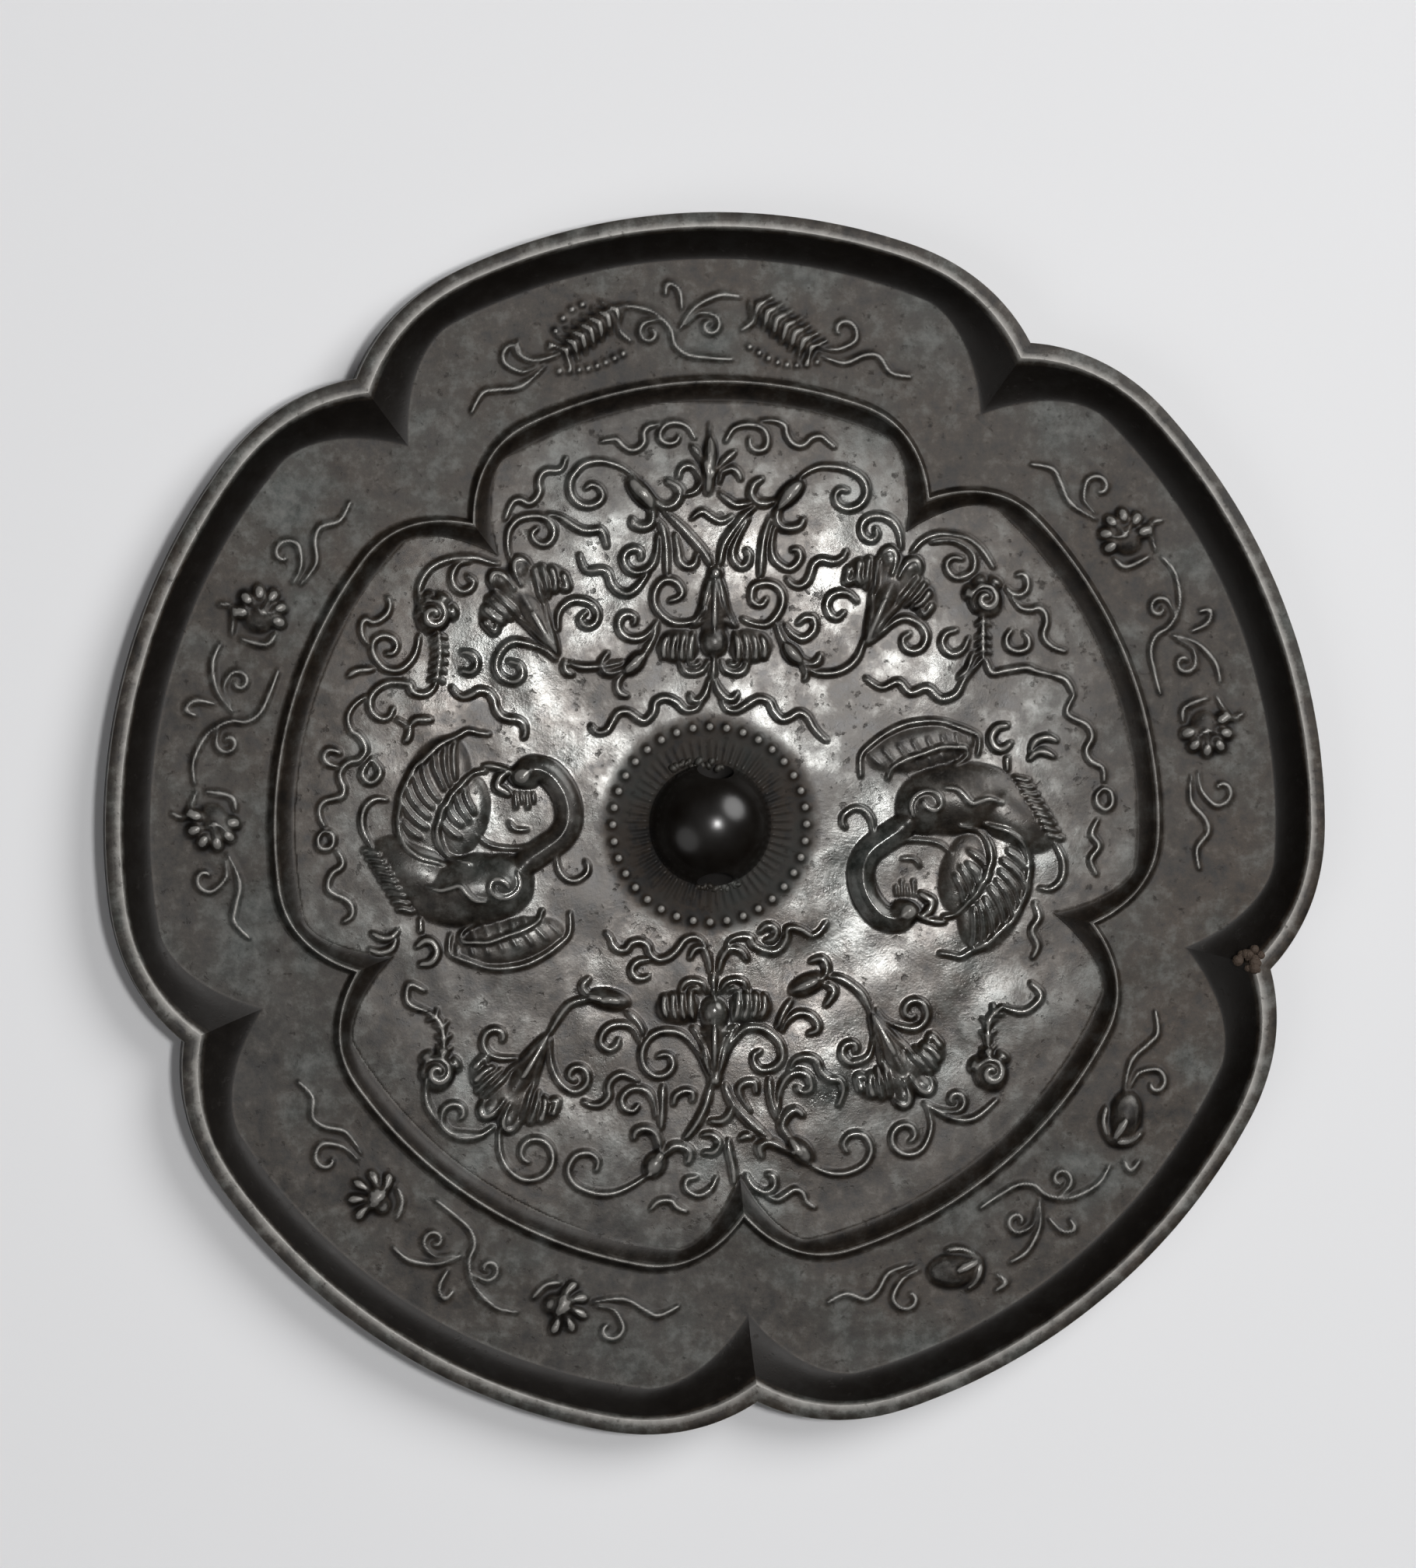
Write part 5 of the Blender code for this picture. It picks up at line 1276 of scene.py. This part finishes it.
class MIRROR_OT_knob(bpy.types.Operator):
    """Makes the domed knob with its cord hole and rough mouths"""

    bl_idname = "mirror.knob"
    bl_label = "Knob"

    def execute(self, context):
        sizes = context.scene.mirror_sizes
        finish = context.scene.mirror_finish
        material = shared_material(finish)
        radius = sizes.knob_radius
        ground = sizes.field_height
        shape = bmesh.new()
        dome_frame = Matrix.Diagonal((radius, radius, sizes.knob_rise, 1.0))
        dome_frame.translation = (KNOB_X * MM, KNOB_Y * MM, ground)
        bmesh.ops.create_uvsphere(shape, u_segments=96, v_segments=64, radius=1.0, matrix=dome_frame)
        dome = bpy.data.meshes.new("knob")
        shape.to_mesh(dome)
        shape.free()
        knob = bpy.data.objects.new("knob", dome)
        bpy.context.scene.collection.objects.link(knob)
        cutter = self.passage(sizes)
        modifier = knob.modifiers.new("cord_hole", "BOOLEAN")
        modifier.operation = "DIFFERENCE"
        modifier.solver = "EXACT"
        modifier.object = cutter
        graph = bpy.context.evaluated_depsgraph_get()
        cut = bpy.data.meshes.new_from_object(knob.evaluated_get(graph))
        knob.modifiers.clear()
        knob.data = cut
        bpy.data.objects.remove(cutter, do_unlink=True)
        cut.materials.clear()
        cut.materials.append(knob_material(finish))
        # Painted shade: the walls inside the cord hole get a matte near-black finish for the shade within
        # the hole.
        cut.materials.append(plain_material("hole_painted_shade", finish.deep, 0.9))
        for polygon in cut.polygons:
            polygon.use_smooth = True
            x, y, z = polygon.center - dome_frame.translation
            inside = (x * x + y * y) / radius ** 2 + (z / sizes.knob_rise) ** 2 < DOME_SKIN
            polygon.material_index = 1 if inside else 0
        cut.set_sharp_from_angle(angle=math.radians(35.0))
        below = bmesh.new()
        below.from_mesh(cut)
        drop = [v for v in below.verts if v.co.z < ground - 0.0010]
        bmesh.ops.delete(below, geom=drop, context="VERTS")
        below.to_mesh(cut)
        below.free()
        belongs(knob)
        self.residue(sizes, material)
        return {"FINISHED"}

    def passage(self, sizes):
        """A rounded bar that cuts the cord hole."""
        shape = bmesh.new()
        half = sizes.cord_hole_width / 2.0
        bar = Matrix.Translation((-0.0010, 0.0003, sizes.field_height + 0.0029))
        bar = bar @ Matrix.Rotation(math.pi / 2.0, 4, "X") @ Matrix.Diagonal((half, 0.0026, 0.013, 1.0))
        bmesh.ops.create_cone(shape, cap_ends=True, segments=40, radius1=1.0, radius2=1.0, depth=2.0,
                              matrix=bar)
        mesh = bpy.data.meshes.new("passage")
        shape.to_mesh(mesh)
        shape.free()
        thing = bpy.data.objects.new("passage", mesh)
        bpy.context.scene.collection.objects.link(thing)
        return thing

    def residue(self, sizes, material):
        """Rough casting residue round both mouths of the hole."""
        random = np.random.default_rng(SEED + 3)
        shape = bmesh.new()
        for mouth_x, mouth_y, spread in MOUTHS:
            for lump in range(MOUTH_LUMPS):
                share = lump / (MOUTH_LUMPS - 1) * 2.0 - 1.0
                size = random.uniform(0.35, 0.75)
                inward = math.copysign(0.66, mouth_y) * share * share
                lump_y = mouth_y - inward + random.uniform(-0.5, 0.5)
                lump_z = sizes.field_height / MM + random.uniform(0.0, 0.5)
                spot = Vector((mouth_x + spread * share, lump_y, lump_z))
                stretch = Matrix.Diagonal((size * 1.2, size * 0.9, size * 0.8, 1.0))
                turn = Matrix.Rotation(random.uniform(0.0, 3.0), 4, "Z")
                place = Matrix.Translation(spot * MM) @ turn @ stretch @ Matrix.Scale(MM, 4)
                bmesh.ops.create_icosphere(shape, subdivisions=3, radius=1.0, matrix=place)
        mesh = bpy.data.meshes.new("mouth_residue")
        shape.to_mesh(mesh)
        shape.free()
        mesh.materials.append(material)
        for polygon in mesh.polygons:
            polygon.use_smooth = True
        thing = bpy.data.objects.new("mouth_residue", mesh)
        bpy.context.scene.collection.objects.link(thing)
        belongs(thing)


class MIRROR_OT_face(bpy.types.Operator):
    """Makes the polished face on the underside and the corrosion on the rim"""

    bl_idname = "mirror.face"
    bl_label = "Polished face"

    def execute(self, context):
        cast = casting(context.scene.mirror_sizes)
        shape = cast.profile
        finish = context.scene.mirror_finish
        steps = LOBES * FACE_STEPS
        angle = 2.0 * math.pi * np.arange(steps + 1) / steps + FIRST_CUSP
        reach = shape.rim_out(angle)[None, :] * np.linspace(0.02, 1.0, FACE_ROWS)[:, None] - FACE_INSET
        x = reach * np.cos(angle)
        y = reach * np.sin(angle)
        z = np.full_like(x, FACE_HEIGHT)
        points = np.stack([x, y, z], axis=-1).reshape(-1, 3)
        values = {"hollow": np.full(x.size, 0.1), "rubbed_and_highlight": np.full(x.size, 0.35),
                  "worn": np.ones(x.size)}
        material = bronze_material(finish, "dark_bronze_face", polished=True)
        belongs(mesh_object("polished_face", points, grid_quads(*x.shape), values, material))
        self.corrosion(shape, finish)
        return {"FINISHED"}

    def corrosion(self, shape, finish):
        """Crusty brown lumps at the right-hand cusp of the rim."""
        random = np.random.default_rng(SEED + 5)
        crust = bmesh.new()
        reach = float(shape.rim_in(np.array([FIRST_CUSP]))[0])
        for lump in range(CRUST_LUMPS):
            out = random.normal(0.2, 1.2)
            turn = CORROSION_TURN + random.normal(0.0, 0.010)
            size = random.uniform(0.35, 0.95)
            spot = Vector(((reach + out) * math.cos(turn), (reach + out) * math.sin(turn),
                           shape.rim_height - 0.35 - 0.4 * abs(out) + random.uniform(0.0, 0.4)))
            place = Matrix.Translation(spot * MM) @ Matrix.Scale(size * MM, 4)
            bmesh.ops.create_icosphere(crust, subdivisions=3, radius=1.0, matrix=place)
        for vertex in crust.verts:
            vertex.co += Vector(random.uniform(-0.05, 0.05, 3)) * MM
        mesh = bpy.data.meshes.new("rim_corrosion")
        crust.to_mesh(mesh)
        crust.free()
        material = plain_material("corrosion_crust", finish.crust, 0.8)
        mesh.materials.append(material)
        thing = bpy.data.objects.new("rim_corrosion", mesh)
        bpy.context.scene.collection.objects.link(thing)
        belongs(thing)


class MIRROR_OT_stage(bpy.types.Operator):
    """Makes the pale table, the soft lights and the camera"""

    bl_idname = "mirror.stage"
    bl_label = "Table, lights and camera"

    def execute(self, context):
        finish = context.scene.mirror_finish
        mesh = bpy.data.meshes.new("table")
        corners = [(x * TABLE_SIDE, y * TABLE_SIDE, -TABLE_DROP)
                   for x, y in ((-1, -1), (1, -1), (1, 1), (-1, 1))]
        mesh.from_pydata(corners, [], [(0, 1, 2, 3)])
        mesh.materials.append(plain_material("table_paper", finish.table, 0.7))
        table = bpy.data.objects.new("table", mesh)
        context.scene.collection.objects.link(table)
        self.light("window_light", (0.158, 0.045, 1.10), size=0.13, power=5.0)
        self.light("room_light", (1.3, 1.0, 1.5), size=1.4, power=30.0)
        self.light("fill_light", (-1.5, -0.9, 1.5), size=1.6, power=7.0)
        self.surroundings(context.scene)
        self.camera(context.scene)
        return {"FINISHED"}

    def light(self, name, spot, size, power):
        """A round soft light that faces the middle of the mirror; the window's leaves a glare on it."""
        data = bpy.data.lights.new(name, "AREA")
        data.shape = "DISK"
        data.size = size
        data.energy = power
        lamp = bpy.data.objects.new(name, data)
        lamp.location = spot
        lamp.rotation_mode = "QUATERNION"
        lamp.rotation_quaternion = (-Vector(spot)).to_track_quat("-Z", "Y")
        bpy.context.scene.collection.objects.link(lamp)

    def surroundings(self, scene):
        """A room that is pale overhead and dark towards the horizon."""
        world = bpy.data.worlds.new("room")
        world.use_nodes = True
        tree = world.node_tree
        place = node(tree, "ShaderNodeTexCoord", {}, output=0)
        split = tree.nodes.new("ShaderNodeSeparateXYZ")
        tree.links.new(place.output, split.inputs[0])
        up = Socket(tree, split.outputs[2]).spread(0.60, 1.0)
        colour = mixed(tree, up, (0.008, 0.0075, 0.007, 1.0), (0.20, 0.20, 0.205, 1.0))
        background = tree.nodes["Background"]
        tree.links.new(colour.output, background.inputs["Color"])
        background.inputs["Strength"].default_value = 1.0
        scene.world = world
        scene.view_settings.view_transform = "Standard"

    def camera(self, scene):
        """A camera high over the mirror, seven degrees to its left."""
        tilt = math.radians(1.13)
        lean = math.radians(7.07)
        distance = 0.900
        across = 0.00154
        down = -0.00690
        turn = Matrix.Rotation(tilt, 3, "X") @ Matrix.Rotation(lean, 3, "Y")
        data = bpy.data.cameras.new("camera")
        data.sensor_fit = "VERTICAL"
        data.sensor_height = 36.0
        data.lens = 126.5
        eye = bpy.data.objects.new("camera", data)
        back = turn.transposed()
        place = Matrix.Translation(back @ Vector((-across, -down, distance)))
        eye.matrix_world = place @ back.to_4x4()
        scene.collection.objects.link(eye)
        scene.camera = eye


class MIRROR_PT_panel(bpy.types.Panel):
    """Lists the steps that build the mirror"""

    bl_idname = "MIRROR_PT_panel"
    bl_label = "Bronze mirror"
    bl_space_type = "VIEW_3D"
    bl_region_type = "UI"
    bl_category = "Mirror"

    def draw(self, context):
        for group in (context.scene.mirror_sizes, context.scene.mirror_finish):
            for name in group.bl_rna.properties.keys():
                if name not in {"rna_type", "name"}:
                    self.layout.prop(group, name)
        for step in STEPS:
            self.layout.operator(step.bl_idname)


STEPS = (MIRROR_OT_field, MIRROR_OT_border, MIRROR_OT_knob, MIRROR_OT_face, MIRROR_OT_stage)
CLASSES = (MirrorSizes, MirrorFinish, *STEPS, MIRROR_PT_panel)


def register():
    for item in CLASSES:
        bpy.utils.register_class(item)
    bpy.types.Scene.mirror_sizes = bpy.props.PointerProperty(type=MirrorSizes)
    bpy.types.Scene.mirror_finish = bpy.props.PointerProperty(type=MirrorFinish)


def unregister():
    del bpy.types.Scene.mirror_finish
    del bpy.types.Scene.mirror_sizes
    for item in reversed(CLASSES):
        bpy.utils.unregister_class(item)


def main():
    register()
    bpy.ops.mirror.field()
    bpy.ops.mirror.border()
    bpy.ops.mirror.knob()
    bpy.ops.mirror.face()
    bpy.ops.mirror.stage()


if __name__ == "__main__":
    main()
